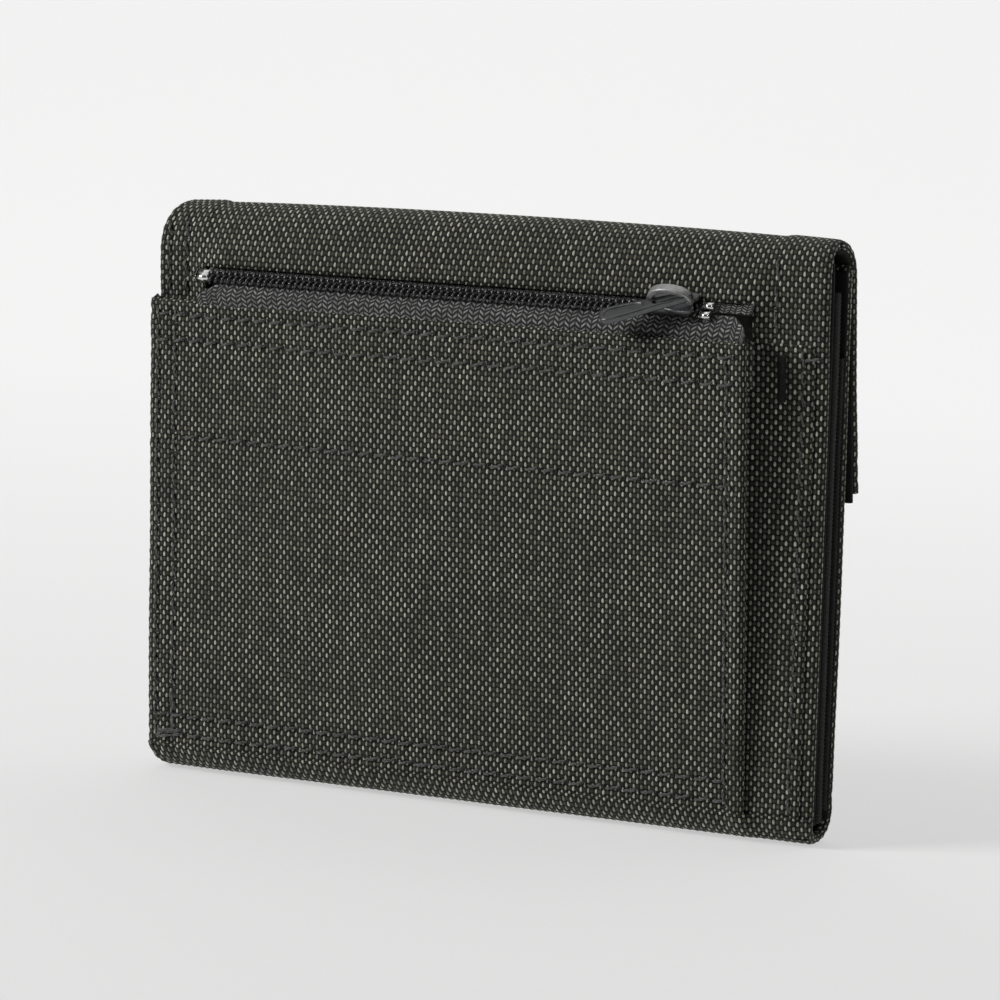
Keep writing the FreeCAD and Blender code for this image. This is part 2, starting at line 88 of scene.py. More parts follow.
# radius and depth of the turned side edges, and the width the shell is cut to
TURN = 0.75
HEM = 3.0
POCKET_TOP = pocket_high[2]
POCKET_RIGHT = pocket_high[0]
CHAIN_LEFT, CHAIN_RIGHT = coil_low[0], coil_high[0]
PULL = next(joint for joint in frame["joints"] if joint["name"] == "pull_swing")
SLIDER_UP = np.array(PULL["axis"])
SLIDER_OUT = np.array([0.0, -SLIDER_UP[2], SLIDER_UP[1]])
upper_middle = (upper_low + upper_high) / 2
coil_middle = (coil_low + coil_high) / 2
ZIP_TILT = math.atan2(upper_middle[1] - coil_middle[1], upper_middle[2] - coil_middle[2])
# half a coil's thickness: the chain's middle lies this far in front of the coils' middles
HALF_COIL = 0.425
CHAIN_Y = (upper_middle[1] + coil_middle[1]) / 2 + HALF_COIL * math.cos(ZIP_TILT)
CHAIN_Z = (upper_middle[2] + coil_middle[2]) / 2 - HALF_COIL * math.sin(ZIP_TILT)

# distance between the warp yarns (along X) and between the weft yarns, and how far crossings stand out
WARP = 0.64
WEFT = 0.79
RELIEF = 0.07


def smooth(low, high, value):
    t = np.clip((np.asarray(value, float) - low) / (high - low), 0, 1)
    return t * t * (3 - 2 * t)


def bell(distance, width):
    return np.exp(-((np.asarray(distance, float) / width) ** 2))


def waves(a, b, scale, seed):
    """A smooth random field, about -1 to 1, with features of the given size."""
    draw = np.random.RandomState(seed)
    total = 0
    for _ in range(5):
        angle = draw.uniform(0, math.tau)
        pitch = scale * draw.uniform(0.7, 1.6)
        phase = draw.uniform(0, math.tau)
        along = np.asarray(a) * math.cos(angle) + np.asarray(b) * math.sin(angle)
        total = total + np.sin(along * math.tau / pitch + phase)
    return total / 3


# ---------------------------------------------------------------- mesh helpers


def normals_of(points):
    """Unit normals of a grid of points, from its own neighbours."""
    across = np.gradient(points, axis=1)
    along = np.gradient(points, axis=0)
    normal = np.cross(across, along)
    length = np.linalg.norm(normal, axis=2, keepdims=True)
    return normal / np.maximum(length, 1e-9)


def mesh_object(name, points, faces, uv=None, material=None):
    mesh = bpy.data.meshes.new(name)
    mesh.from_pydata((np.asarray(points, float) * MM).tolist(), [], [list(f) for f in faces])
    mesh.polygons.foreach_set("use_smooth", [True] * len(mesh.polygons))
    if uv is not None:
        layer = mesh.uv_layers.new(name="weave")
        loops = np.zeros(len(mesh.loops), np.int32)
        mesh.loops.foreach_get("vertex_index", loops)
        layer.data.foreach_set("uv", np.asarray(uv, np.float32)[loops].ravel())
    mesh.update()
    made = bpy.data.objects.new(name, mesh)
    bpy.context.scene.collection.objects.link(made)
    if material:
        mesh.materials.append(material)
    return made


def shell_faces(keep):
    """Quads of a sheet: its outer layer, its inner layer numbered after it, and its closed edges.
    keep says which cells of the grid are there."""
    rows, cols = keep.shape[0] + 1, keep.shape[1] + 1
    number = np.arange(rows * cols).reshape(rows, cols)
    shift = rows * cols
    a, b = number[:-1, :-1][keep], number[:-1, 1:][keep]
    c, d = number[1:, 1:][keep], number[1:, :-1][keep]
    quads = [np.stack([a, b, c, d], 1), np.stack([d, c, b, a], 1) + shift]
    around = np.zeros((rows + 1, cols + 1), bool)
    around[1:-1, 1:-1] = keep
    own = around[1:-1, 1:-1]
    sides = (
        (own & ~around[:-2, 1:-1], number[:-1, :-1], number[:-1, 1:]),
        (own & ~around[2:, 1:-1], number[1:, 1:], number[1:, :-1]),
        (own & ~around[1:-1, :-2], number[1:, :-1], number[:-1, :-1]),
        (own & ~around[1:-1, 2:], number[:-1, 1:], number[1:, 1:]),
    )
    for edge, first, second in sides:
        p, q = first[edge], second[edge]
        quads.append(np.stack([q, p, p + shift, q + shift], 1))
    return np.concatenate(quads)


def whole(points):
    """Every cell of a grid of points."""
    return np.ones((points.shape[0] - 1, points.shape[1] - 1), bool)


def cloth_object(name, points, material, thick=CLOTH, relief=RELIEF, keep=None, uv0=(0, 0), step=1):
    """A sheet from a grid of its outer surface: the yarn crossings stand up and down by turns,
    and the inner surface lies one thickness inside. keep says which cells of the grid are cloth."""
    rows, cols = points.shape[:2]
    normal = normals_of(points)
    j, i = np.mgrid[0:rows, 0:cols]
    sign = np.where(((i + uv0[0]) + (j + uv0[1])) % 2 == 0, 1.0, -1.0)
    outer = points + normal * (relief * sign)[..., None]
    inner = points - normal * thick
    faces = shell_faces(whole(points) if keep is None else keep)
    both = np.concatenate([outer.reshape(-1, 3), inner.reshape(-1, 3)])
    uv = np.stack([(i + uv0[0]) * step, (j + uv0[1]) * step], 2).reshape(-1, 2)
    uv = np.concatenate([uv, uv])
    used = np.unique(faces)
    renumber = np.zeros(len(both), int)
    renumber[used] = np.arange(len(used))
    return mesh_object(name, both[used], renumber[faces], uv[used], material)


def bezier(p0, p1, p2, p3, count=40):
    t = np.linspace(0, 1, count)[:, None]
    p0, p1, p2, p3 = (np.asarray(p, float) for p in (p0, p1, p2, p3))
    return (1 - t) ** 3 * p0 + 3 * (1 - t) ** 2 * t * p1 + 3 * (1 - t) * t * t * p2 + t**3 * p3


def joined(*parts):
    line = [np.asarray(parts[0], float)]
    for part in parts[1:]:
        part = np.asarray(part, float)
        line.append(part[1:] if np.allclose(part[0], line[-1][-1], atol=1e-6) else part)
    return np.concatenate(line)


def spaced(line, step):
    """The same line with points a whole number of steps apart, and its total length."""
    line = np.asarray(line, float)
    run = np.concatenate([[0], np.cumsum(np.linalg.norm(np.diff(line, axis=0), axis=1))])
    count = max(2, int(round(run[-1] / step)))
    at = np.linspace(0, run[-1], count + 1)
    return np.stack([np.interp(at, run, line[:, k]) for k in range(line.shape[1])], 1), run[-1]


def line_normals(line, toward):
    """Unit normals of a line in the Y-Z plane, on the side of the point toward."""
    tangent = np.gradient(line, axis=0)
    normal = np.stack([tangent[:, 1], -tangent[:, 0]], 1)
    normal /= np.linalg.norm(normal, axis=1, keepdims=True)
    middle = len(line) // 2
    if (toward - line[middle]) @ normal[middle] < 0:
        normal = -normal
    return normal


def edge_path(half, radius, turn=HEM):
    """Across a piece from its turned left edge to its turned right edge: places along X, and
    how deep each lies under the outer surface."""
    arc = np.linspace(0, math.pi, 5)
    bend = [(half - radius + radius * math.sin(a), radius * (1 - math.cos(a))) for a in arc]
    bend += [(half - radius - back, 2 * radius) for back in (turn / 2, turn)]
    count = int(round(2 * (half - radius) / WARP))
    flat = np.linspace(radius - half, half - radius, count + 1)[1:-1]
    path = [(-x, deep) for x, deep in bend[::-1]] + [(x, 0.0) for x in flat] + bend
    xs, deep = np.array(path).T
    return xs, deep


def coarser(xs, deep, ends):
    """The same path with every third point only, apart from a number of points at each end."""
    last = len(xs) - ends
    keep = np.concatenate([np.arange(ends), np.arange(ends, last, 3), np.arange(last, len(xs))])
    return xs[keep], deep[keep]


def section_cloth(xs, deep, line, toward, rise):
    """Grid of points of a cloth whose Y-Z section is a line; rise(x, z, t) lifts it along the
    section's normal, where t is the share of the line's length."""
    normal = line_normals(line, np.asarray(toward, float))
    share = np.linspace(0, 1, len(line))
    x, y = np.meshgrid(xs, line[:, 0])
    z = np.meshgrid(xs, line[:, 1])[1]
    t = np.meshgrid(xs, share)[1]
    ny = np.meshgrid(xs, normal[:, 0])[1]
    nz = np.meshgrid(xs, normal[:, 1])[1]
    lift = rise(x, z, t) - deep[None, :]
    return np.stack([x, y + ny * lift, z + nz * lift], 2)


# ---------------------------------------------------------------- materials


class Shader:
    """A node tree with short names for the few nodes that the materials use."""

    def __init__(self, name, rough, sheen=0.0, specular=0.5, metal=0.0):
        self.material = bpy.data.materials.new(name)
        self.material.use_nodes = True
        self.tree = self.material.node_tree
        self.out = self.tree.nodes["Principled BSDF"]
        self.out.inputs["Roughness"].default_value = rough
        self.out.inputs["Sheen Weight"].default_value = sheen
        self.out.inputs["Sheen Roughness"].default_value = 0.6
        self.out.inputs["Specular IOR Level"].default_value = specular
        self.out.inputs["Metallic"].default_value = metal

    def node(self, kind, **settings):
        made = self.tree.nodes.new(kind)
        for key, value in settings.items():
            setattr(made, key, value)
        return made

    def plug(self, value, socket):
        if isinstance(value, bpy.types.NodeSocket):
            self.tree.links.new(value, socket)
        else:
            socket.default_value = value

    def math(self, operation, *values, clamp=False):
        made = self.node("ShaderNodeMath", operation=operation, use_clamp=clamp)
        for value, socket in zip(values, made.inputs):
            self.plug(value, socket)
        return made.outputs[0]

    def ramp(self, value, low, high, to_low=0.0, to_high=1.0):
        made = self.node("ShaderNodeMapRange", interpolation_type="SMOOTHSTEP")
        for given, socket in zip((value, low, high, to_low, to_high), made.inputs):
            self.plug(given, socket)
        return made.outputs[0]

    def mix(self, share, first, second):
        made = self.node("ShaderNodeMix", data_type="RGBA")
        self.plug(share, made.inputs["Factor"])
        self.plug(first, made.inputs["A"])
        self.plug(second, made.inputs["B"])
        return made.outputs["Result"]

    def scaled(self, colour, amount):
        """A colour times a grey value."""
        made = self.node("ShaderNodeMix", data_type="RGBA", blend_type="MULTIPLY")
        made.inputs["Factor"].default_value = 1.0
        self.plug(colour, made.inputs["A"])
        self.plug(amount, made.inputs["B"])
        return made.outputs["Result"]

    def cells(self):
        """The weave's own coordinates, in yarns, as two values."""
        uv = self.node("ShaderNodeUVMap", uv_map="weave")
        split = self.node("ShaderNodeSeparateXYZ")
        self.tree.links.new(uv.outputs["UV"], split.inputs[0])
        return split.outputs[0], split.outputs[1]

    def vector(self, *values):
        made = self.node("ShaderNodeCombineXYZ")
        for value, socket in zip(values, made.inputs):
            self.plug(value, socket)
        return made.outputs[0]

    def noise(self, place, scale, detail=2.0, rough=0.5):
        made = self.node("ShaderNodeTexNoise")
        self.plug(place, made.inputs["Vector"])
        made.inputs["Scale"].default_value = scale
        made.inputs["Detail"].default_value = detail
        made.inputs["Roughness"].default_value = rough
        return made.outputs["Fac"]

    def patchy(self, scale, low, high, detail=2.0):
        """A value that drifts between low and high over the object."""
        return self.ramp(self.noise(self.solid(), scale, detail), 0.3, 0.7, low, high)

    def grain(self, place):
        made = self.node("ShaderNodeTexWhiteNoise", noise_dimensions="2D")
        self.plug(place, made.inputs["Vector"])
        return made.outputs["Value"]

    def solid(self):
        """The object's own coordinates, in metres."""
        return self.node("ShaderNodeTexCoord").outputs["Object"]

    def colour(self, value):
        self.plug(value, self.out.inputs["Base Color"])

    def rough(self, value):
        self.plug(value, self.out.inputs["Roughness"])

    def bump(self, height, depth, strength=1.0):
        made = self.node("ShaderNodeBump")
        made.inputs["Strength"].default_value = strength
        made.inputs["Distance"].default_value = depth
        self.plug(height, made.inputs["Height"])
        self.tree.links.new(made.outputs["Normal"], self.out.inputs["Normal"])


def yarn(shader, across, along, half_across, half_along):
    """A yarn's float in its own cell: 1 on its ridge, 0 outside."""
    x = shader.math("POWER", shader.math("DIVIDE", across, half_across), 2.0)
    y = shader.math("POWER", shader.math("DIVIDE", along, half_along), 2.0)
    return shader.math("SUBTRACT", 1.0, shader.math("ADD", x, y), clamp=True)


def melange():
    """Plain weave of pale warp yarns and near-black weft yarns; each float is an oval dot, and the grooves
    between the floats are painted still darker as shade.
    """
    s = Shader("melange_cloth", 0.85, sheen=0.06, specular=0.2)
    a, b = s.cells()
    column = s.math("FLOOR", s.math("ADD", a, 0.5))
    row = s.math("FLOOR", s.math("ADD", b, 0.5))
    across = s.math("SUBTRACT", a, column)
    along = s.math("SUBTRACT", b, row)
    odd = s.math("FLOORED_MODULO", s.math("ADD", column, row), 2.0)
    even = s.math("SUBTRACT", 1.0, odd)
    cell = s.vector(column, row, 0.0)
    warp = s.math("MULTIPLY", yarn(s, across, along, 0.38, 0.58), even)
    weft = s.math("MULTIPLY", yarn(s, across, along, 0.62, 0.44), odd)
    shade = s.ramp(s.grain(cell), 0.0, 1.0, 0.62, 1.25)
    along_warp = s.vector(s.math("MULTIPLY", column, 0.83), s.math("MULTIPLY", row, 0.045), 0.0)
    streak = s.ramp(s.noise(along_warp, 1.0), 0.3, 0.7, 0.70, 1.22)
    along_weft = s.vector(s.math("MULTIPLY", column, 0.05), s.math("MULTIPLY", row, 0.71), 4.0)
    band = s.ramp(s.noise(along_weft, 1.0), 0.3, 0.7, 0.7, 1.3)
    cloudy = s.patchy(90.0, 0.90, 1.08, 3.0)
    pale = s.math("MULTIPLY", s.math("MULTIPLY", shade, streak), cloudy)
    pale_colour = s.scaled((0.345, 0.345, 0.290, 1), pale)
    dark_colour = s.scaled((0.031, 0.0318, 0.0205, 1), s.math("MULTIPLY", band, shade))
    # near-black outside both floats: painted shade in the grooves between the yarns
    gap = s.mix(s.ramp(weft, 0.05, 0.7), (0.0035, 0.0036, 0.0024, 1), dark_colour)
    s.colour(s.mix(s.ramp(warp, 0.12, 0.62), gap, pale_colour))
    height = s.math("MAXIMUM", warp, s.math("MULTIPLY", weft, 0.7))
    fibre = s.noise(s.solid(), 9000.0, 2.0)
    s.bump(s.math("ADD", height, s.math("MULTIPLY", fibre, 0.25)), 0.00016, 0.9)
    return s.material


def ribbed(name="grosgrain", colour=(0.006, 0.0061, 0.0050, 1)):
    """Black ribbed tape; its ribs are in the mesh, and this adds the fine warp over them."""
    s = Shader(name, 0.7, sheen=0.0, specular=0.18)
    fine = s.math("SINE", s.math("MULTIPLY", s.cells()[0], 26.0))
    worn = s.noise(s.solid(), 700.0, 3.0)
    s.colour(s.scaled(colour, s.ramp(worn, 0.25, 0.75, 0.6, 1.5)))
    s.bump(s.math("ADD", s.math("MULTIPLY", fine, 0.5), worn), 0.00005, 0.8)
    return s.material


def lining():
    """Smooth dense nylon, satin, with a hint of its weave."""
    s = Shader("lining_cloth", 0.7, sheen=0.0, specular=0.15)
    place = s.solid()
    split = s.node("ShaderNodeSeparateXYZ")
    s.tree.links.new(place, split.inputs[0])
    along = s.math("SINE", s.math("MULTIPLY", split.outputs[2], 22000.0))
    across = s.math("SINE", s.math("MULTIPLY", split.outputs[0], 26000.0))
    cloudy = s.noise(place, 160.0, 3.0)
    s.colour(s.scaled((0.0085, 0.0088, 0.0084, 1), s.ramp(cloudy, 0.3, 0.7, 0.8, 1.25)))
    s.bump(s.math("ADD", s.math("MULTIPLY", along, across), cloudy), 0.00004, 0.6)
    return s.material


def knit():
    """Warp-knitted zip tape: columns of small slanting loops."""
    s = Shader("zip_tape", 0.8, sheen=0.1, specular=0.3)
    a, b = s.cells()
    column = s.math("FLOOR", a)
    across = s.math("SUBTRACT", s.math("FRACT", a), 0.5)
    odd = s.math("FLOORED_MODULO", column, 2.0)
    lean = s.math("MULTIPLY", across, s.math("SUBTRACT", s.math("MULTIPLY", odd, 1.8), 0.9))
    loop = s.math("SINE", s.math("MULTIPLY", s.math("ADD", b, lean), math.tau))
    groove = s.math("ABSOLUTE", across)
    ridge = s.math("MULTIPLY", s.ramp(loop, -0.6, 0.9), s.ramp(groove, 0.5, 0.28))
    shade = s.ramp(s.grain(s.vector(column, s.math("FLOOR", b), 0.0)), 0.0, 1.0, 0.7, 1.3)
    pale = s.scaled((0.24, 0.243, 0.236, 1), shade)
    s.colour(s.mix(ridge, (0.007, 0.0072, 0.0068, 1), pale))
    s.bump(ridge, 0.00028, 1.0)
    return s.material


def filament():
    s = Shader("zip_coil", 0.26, specular=0.7)
    uneven = s.patchy(2500.0, 0.7, 1.4)
    s.colour(s.scaled((0.020, 0.0205, 0.021, 1), uneven))
    return s.material


def metal(name, colour, rough, scratch, metallic=1.0):
    s = Shader(name, rough, specular=0.5, metal=metallic)
    worn = s.noise(s.solid(), 1400.0, 4.0, 0.65)
    s.colour(s.scaled(colour, s.ramp(worn, 0.3, 0.7, 0.82, 1.12)))
    s.rough(s.ramp(worn, 0.2, 0.8, rough - scratch, rough + scratch))
    s.bump(worn, 0.00002, 0.5)
    return s.material


def sewing_thread(name="thread", shade=1.0):
    s = Shader(name, 0.65, sheen=0.0, specular=0.3)
    fuzz = s.patchy(3000.0, 0.5 * shade, 1.6 * shade)
    s.colour(s.scaled((0.078, 0.080, 0.074, 1), fuzz))
    return s.material


def pile():
    s = Shader("closure_tape", 0.9, sheen=0.3, specular=0.2)
    fuzz = s.noise(s.solid(), 2600.0, 4.0, 0.7)
    s.colour(s.scaled((0.012, 0.012, 0.0125, 1), s.ramp(fuzz, 0.3, 0.7, 0.4, 1.9)))
    s.bump(fuzz, 0.0004, 1.0)
    return s.material


def board():
    s = Shader("board", 0.85, specular=0.2)
    fibres = s.noise(s.solid(), 500.0, 5.0, 0.7)
    s.colour(s.scaled((0.16, 0.155, 0.145, 1), s.ramp(fibres, 0.3, 0.7, 0.8, 1.15)))
    s.bump(fibres, 0.00005, 0.6)
    return s.material


MELANGE = melange()
GROSGRAIN = ribbed()
LINING = lining()
KNIT = knit()
COIL = filament()
BRIGHT = metal("bright_metal", (0.78, 0.78, 0.76, 1), 0.22, 0.08)
GUNMETAL = metal("gunmetal", (0.115, 0.118, 0.120, 1), 0.38, 0.08)
CROWN = metal("gunmetal_worn", (0.33, 0.33, 0.325, 1), 0.42, 0.08, 0.7)
THREAD = sewing_thread()
# a near-black copy of the thread: the bar tack's own black thread, and painted shade at the needle holes
DARK_THREAD_AND_HOLE_SHADE = sewing_thread("dark_thread_and_hole_shade", 0.17)
PILE = pile()
BOARD = board()


# ---------------------------------------------------------------- the wallet's surfaces

ROLL_Z = TOP_Z - 7.0
# the slot in the back cloth that the zip lies in, and how far the zip pushes its upper edge out
SLOT_EDGE = yoke_low[2] - 0.5
SLOT_LEFT = CHAIN_LEFT - 1.9
SLOT_RIGHT = POCKET_RIGHT - 1.2
ZIP_BULK = 1.95
# rows of stitches: how far each lies in from the edge it follows; the last two are heights
SIDE_ROWS = (1.9, 5.1)
RIGHT_ROW = 3.6
YOKE_ROW = 8.3
POCKET_ROW = 3.0
TOP_ROWS = (2.4, 6.4)
MIDDLE_ROW = 21.8
FLAP_ROW = 2.2
END_ROWS = (2.4, 5.0)
FRONT_ROW = 7.0
BASE_ROWS = (6.3, 9.5)


# how far the pocket's left and right edges stand off the back half, at their foot and at the top
LEFT_FOOT, LEFT_TOP = 2.6, 4.0
RIGHT_FOOT, RIGHT_TOP = 1.5, 7.0
# how far its middle swells out, and how far its top edge sags back
SWELL = 0.8
SAG = 0.5


def proud(x, z):
    """How far the coin pocket's front stands off the back half."""
    t = np.clip((np.asarray(z, float) - pocket_low[2]) / (POCKET_TOP - pocket_low[2]), 0, 1)
    s = np.clip((np.asarray(x, float) + HALF) / (POCKET_RIGHT + HALF), 0, 1)
    left = LEFT_FOOT + (LEFT_TOP - LEFT_FOOT) * t
    right = RIGHT_FOOT + (RIGHT_TOP - RIGHT_FOOT) * t
    across = np.sin(math.pi * s)
    swell = SWELL * across * np.sin(math.pi * t) ** 0.8
    return left * (1 - s) + right * s + swell - SAG * across * t**4 + 0.16 * waves(x, z, 34, 3)


# length of a stitch, the gap between two, and the depth and width of the channel they pull in
STITCH = 2.35
STITCH_GAP = 0.55
CHANNEL_DEPTH = 0.26
CHANNEL_WIDTH = 0.6


def puckers(rows, along):
    """Sewn channels: rows are distances to each line of stitches, along is the place on it."""
    total = 0
    for distance in rows:
        ripple = 0.10 * bell(distance, 3 * CHANNEL_WIDTH) * np.sin(along * math.tau / (STITCH + STITCH_GAP))
        total = total - CHANNEL_DEPTH * bell(distance, CHANNEL_WIDTH) + ripple
    return total


def pocket_depth(x, z):
    """The pocket front's outer face off the back half, with its seams."""
    x, z = np.asarray(x, float), np.asarray(z, float)
    level = [z - (POCKET_TOP - drop) for drop in TOP_ROWS]
    level += [z - (POCKET_TOP - MIDDLE_ROW)] + [z - rise for rise in BASE_ROWS]
    upright = [x + HALF - gap for gap in SIDE_ROWS] + [x - (POCKET_RIGHT - POCKET_ROW)]
    hem = 0.22 * smooth(-TOP_ROWS[1] - 1.2, -TOP_ROWS[1] + 0.4, z - POCKET_TOP)
    roll = 0.35 * bell(x - POCKET_RIGHT + 1.2, 1.6)
    seams = puckers(level, x) + puckers(upright, z)
    return proud(x, z) + hem + roll + seams


def side_hems(x):
    """Turned hems make the cloth thicker near the sides."""
    return 0.30 * smooth(HALF - 9.5, HALF - 8, np.abs(x))


def crest(x):
    """The folded top stands a little higher in the middle, over the zip's bulk."""
    return 1.0 * np.clip(1 - (np.asarray(x, float) / HALF) ** 2, 0, 1) ** 0.8 - 0.15


# how far the rounded corners are drawn in at the left and right, over what width and height
LEFT_CORNER, RIGHT_CORNER = 2.4, 0.7
CORNER_WIDTH = 14.0
CORNER_HEIGHT = 8.15
CORNER_Z = TOP_Z - 8.5


def drawn_in(x, share):
    """Rounds the corners: moves the cloth near its side edges inwards as share goes from 0 to 1."""
    bend = 1 - np.sqrt(1 - np.clip(share, 0, 1) ** 2)
    left = LEFT_CORNER * bend * np.clip(1 - (x + HALF) / CORNER_WIDTH, 0, 1)
    right = RIGHT_CORNER * bend * np.clip(1 - (HALF - x) / CORNER_WIDTH, 0, 1)
    return x + left - right


def towards_crest(z):
    """0 where the upper corners begin to round, 1 at the crest."""
    return (z - CORNER_Z) / CORNER_HEIGHT


def round_corners(points, share):
    """Draws the side edges of a grid of points in; share is one value for each of its rows."""
    points[:, :, 0] = drawn_in(points[:, :, 0], share[:, None])


def back_rise(x, z, t=None):
    """The back cloth's outer face off its plain section: the zip pushes the yoke out, and the
    turned side hems are thicker."""
    x, z = np.asarray(x, float), np.asarray(z, float)
    over_zip = smooth(SLOT_LEFT - 3.5, SLOT_LEFT + 3, x) * (1 - smooth(SLOT_RIGHT - 3, SLOT_RIGHT + 5, x))
    lift = ZIP_BULK * over_zip * (1 - smooth(SLOT_EDGE, SLOT_EDGE + 7.5, z)) * smooth(70, 80, z)
    hem = side_hems(x) * smooth(60, 78, z)
    near_top = smooth(TOP_Z - 9, TOP_Z - 0.5, z)
    left_rows = [x + HALF - gap for gap in SIDE_ROWS]
    above = smooth(POCKET_TOP - 2, POCKET_TOP, z) * (1 - smooth(TOP_Z - 2.5, TOP_Z - 1, z))
    seams = puckers(left_rows, z) * above
    seams = seams + puckers([x - (HALF - YOKE_ROW)], z) * above * smooth(72, 76, z)
    seams = seams + puckers([x - (HALF - RIGHT_ROW)], z) * (1 - smooth(72, 78, z))
    soft = 0.12 * waves(x, z, 26, 5) * smooth(70, 80, z) * (1 - near_top)
    return lift + hem + crest(x) * near_top + seams + soft


# the crest's line in the cloth's section, and where the back's cloth turns with the top
CREST_Z = TOP_Z - 0.35
rear_line = joined(
    [(BACK_Y, JOIN_Z), (BACK_Y, 68.0)],
    bezier((BACK_Y, 68.0), (BACK_Y, 74), (strip_low[1], 78), (strip_low[1], ROLL_Z)),
    bezier(
        (strip_low[1], ROLL_Z),
        (strip_low[1], ROLL_Z + 4.2),
        (CREST_Y - 3.4, CREST_Z),
        (CREST_Y, CREST_Z),
    ),
)
rear_line, rear_length = spaced(rear_line, WEFT)
edge_x, edge_deep = edge_path(HALF, TURN)


def build_back():
    points = section_cloth(edge_x, edge_deep, rear_line, (BACK_Y - 20, 60), back_rise)
    rows = len(rear_line)
    round_corners(points, towards_crest(rear_line[:, 1]))
    middle_x = (edge_x[:-1] + edge_x[1:]) / 2
    middle_z = (rear_line[:-1, 1] + rear_line[1:, 1]) / 2
    in_slot = (middle_x > SLOT_LEFT) & (middle_x < SLOT_RIGHT)
    in_slot &= (edge_deep[:-1] == 0) & (edge_deep[1:] == 0)
    open_z = (middle_z > POCKET_TOP - 4) & (middle_z < SLOT_EDGE)
    keep = ~(open_z[:, None] & in_slot[None, :])
    made = cloth_object("back_cloth", points, MELANGE, keep=keep)
    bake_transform(made)
    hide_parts("back_panel", "back_yoke")
    return rows


rear_rows = build_back()


# ---------------------------------------------------------------- flap

lean = math.atan2(flap_high[1] - strip_high[1], strip_high[2] - flap_low[2]) * 0.66
HANG = np.array([math.sin(lean), -math.cos(lean)])
hang_from = np.array([strip_high[1] + 0.6, ROLL_Z])
hang_to = hang_from + HANG * ((hang_from[1] - flap_low[2]) / math.cos(lean))
flap_line = joined(
    bezier((CREST_Y, CREST_Z), (CREST_Y + 3.6, CREST_Z), hang_from - HANG * 4.2, hang_from),
    [hang_from, hang_to],
)
flap_line, flap_length = spaced(flap_line, WEFT)


def flap_rise(x, z, t):
    x, z, t = (np.asarray(v, float) for v in (x, z, t))
    hem = side_hems(x) * (1 - smooth(0.1, 0.3, t))
    top = crest(x) * (1 - smooth(0.02, 0.22, t))
    rows = [HALF - np.abs(x) - FLAP_ROW]
    seams = puckers(rows, z) * smooth(0.12, 0.2, t)
    from_end = (1 - t) * flap_length
    seams = seams + puckers([from_end - rest for rest in END_ROWS], x)
    soft = 0.25 * waves(x, z, 46, 8) * smooth(0.1, 0.5, t)
    curl = 0.9 * smooth(0.55, 1.0, t) * (np.abs(x) / HALF) ** 3
    return hem + top + seams + soft + curl


def build_flap():
    points = section_cloth(edge_x, edge_deep, flap_line, (60, 90), flap_rise)
    round_corners(points, 1 - np.linspace(0, 5.0, len(flap_line)))
    made = cloth_object("flap_cloth", points, MELANGE, uv0=(0, rear_rows - 1))
    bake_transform(made)
    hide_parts("flap_panel", "flap_top_strip")


build_flap()


# ---------------------------------------------------------------- spine


def seat(x):
    """How far the cloth sewn on the back half stands off it just above the spine."""
    x = np.asarray(x, float)
    on_pocket = pocket_depth(np.minimum(x, POCKET_RIGHT), JOIN_Z)
    on_flange = 0.55
    past = smooth(POCKET_RIGHT - 0.8, POCKET_RIGHT + 2.2, x)
    edge = smooth(HALF - 3.2, HALF - 2.2, x)
    return on_pocket * (1 - past) + past * (on_flange * (1 - edge) + 0.15 * edge)


spine_line = joined(
    bezier((BACK_Y, JOIN_Z), (BACK_Y, 1.7), (-2.7, 0.1), (0, 0.1)),
    bezier((0, 0.1), (2.7, 0.1), (FRONT_Y, 1.7), (FRONT_Y, JOIN_Z)),
)
spine_line, spine_length = spaced(spine_line, WEFT)


def build_spine():
    def rise(x, z, t):
        return seat(x) * np.clip(1 - t / 0.45, 0, 1) ** 1.5

    points = section_cloth(edge_x, edge_deep, spine_line, (0, -20), rise)
    round_corners(points, 1 - spine_line[:, 1] / (JOIN_Z + 1.5))
    points = points[:, ::-1]
    made = cloth_object("spine_cloth", points, MELANGE, uv0=(0, 1))
    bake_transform(made)
    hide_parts("spine_fold")


build_spine()


# ---------------------------------------------------------------- front half


def bow(z):
    """The closed wallet's front half swells outwards in the middle."""
    t = np.clip((np.asarray(z, float) - JOIN_Z) / (front_high[2] - JOIN_Z), 0, 1)
    return 0.35 * np.sin(math.pi * t**0.85) ** 1.2


def front_section(y, top, turn):
    """Section of a front layer at depth y: up its face, over its top edge and down inside."""
    z = np.linspace(JOIN_Z, top - 0.8, 60)
    face = np.stack([y + bow(z), z], 1)
    turn_z = top - 0.8
    middle = y + bow(top) - 0.8
    angles = np.linspace(0, math.pi, 8)[1:]
    lip = [tuple(face[-1])] + [(middle + 0.8 * math.cos(a), turn_z + 0.8 * math.sin(a)) for a in angles]
    inner = [(middle - 0.8, turn_z), (middle - 0.8, turn_z - turn)]
    return spaced(joined(face, lip, inner), WEFT)


def build_front():
    line, length = front_section(FRONT_Y, front_high[2], 7.0)

    def rise(x, z, t):
        x, z, t = (np.asarray(v, float) for v in (x, z, t))
        seams = puckers([HALF - np.abs(x) - FLAP_ROW], z) + puckers([z - FRONT_ROW], x)
        return (seams + 0.2 * waves(x, z, 40, 11)) * (1 - smooth(0.85, 0.9, t))

    points = section_cloth(edge_x, edge_deep, line, (60, 40), rise)
    points = points[:, ::-1]
    made = cloth_object("front_cloth", points, MELANGE)
    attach(made, "front")
    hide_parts("front_panel")


build_front()


# ---------------------------------------------------------------- coin pocket


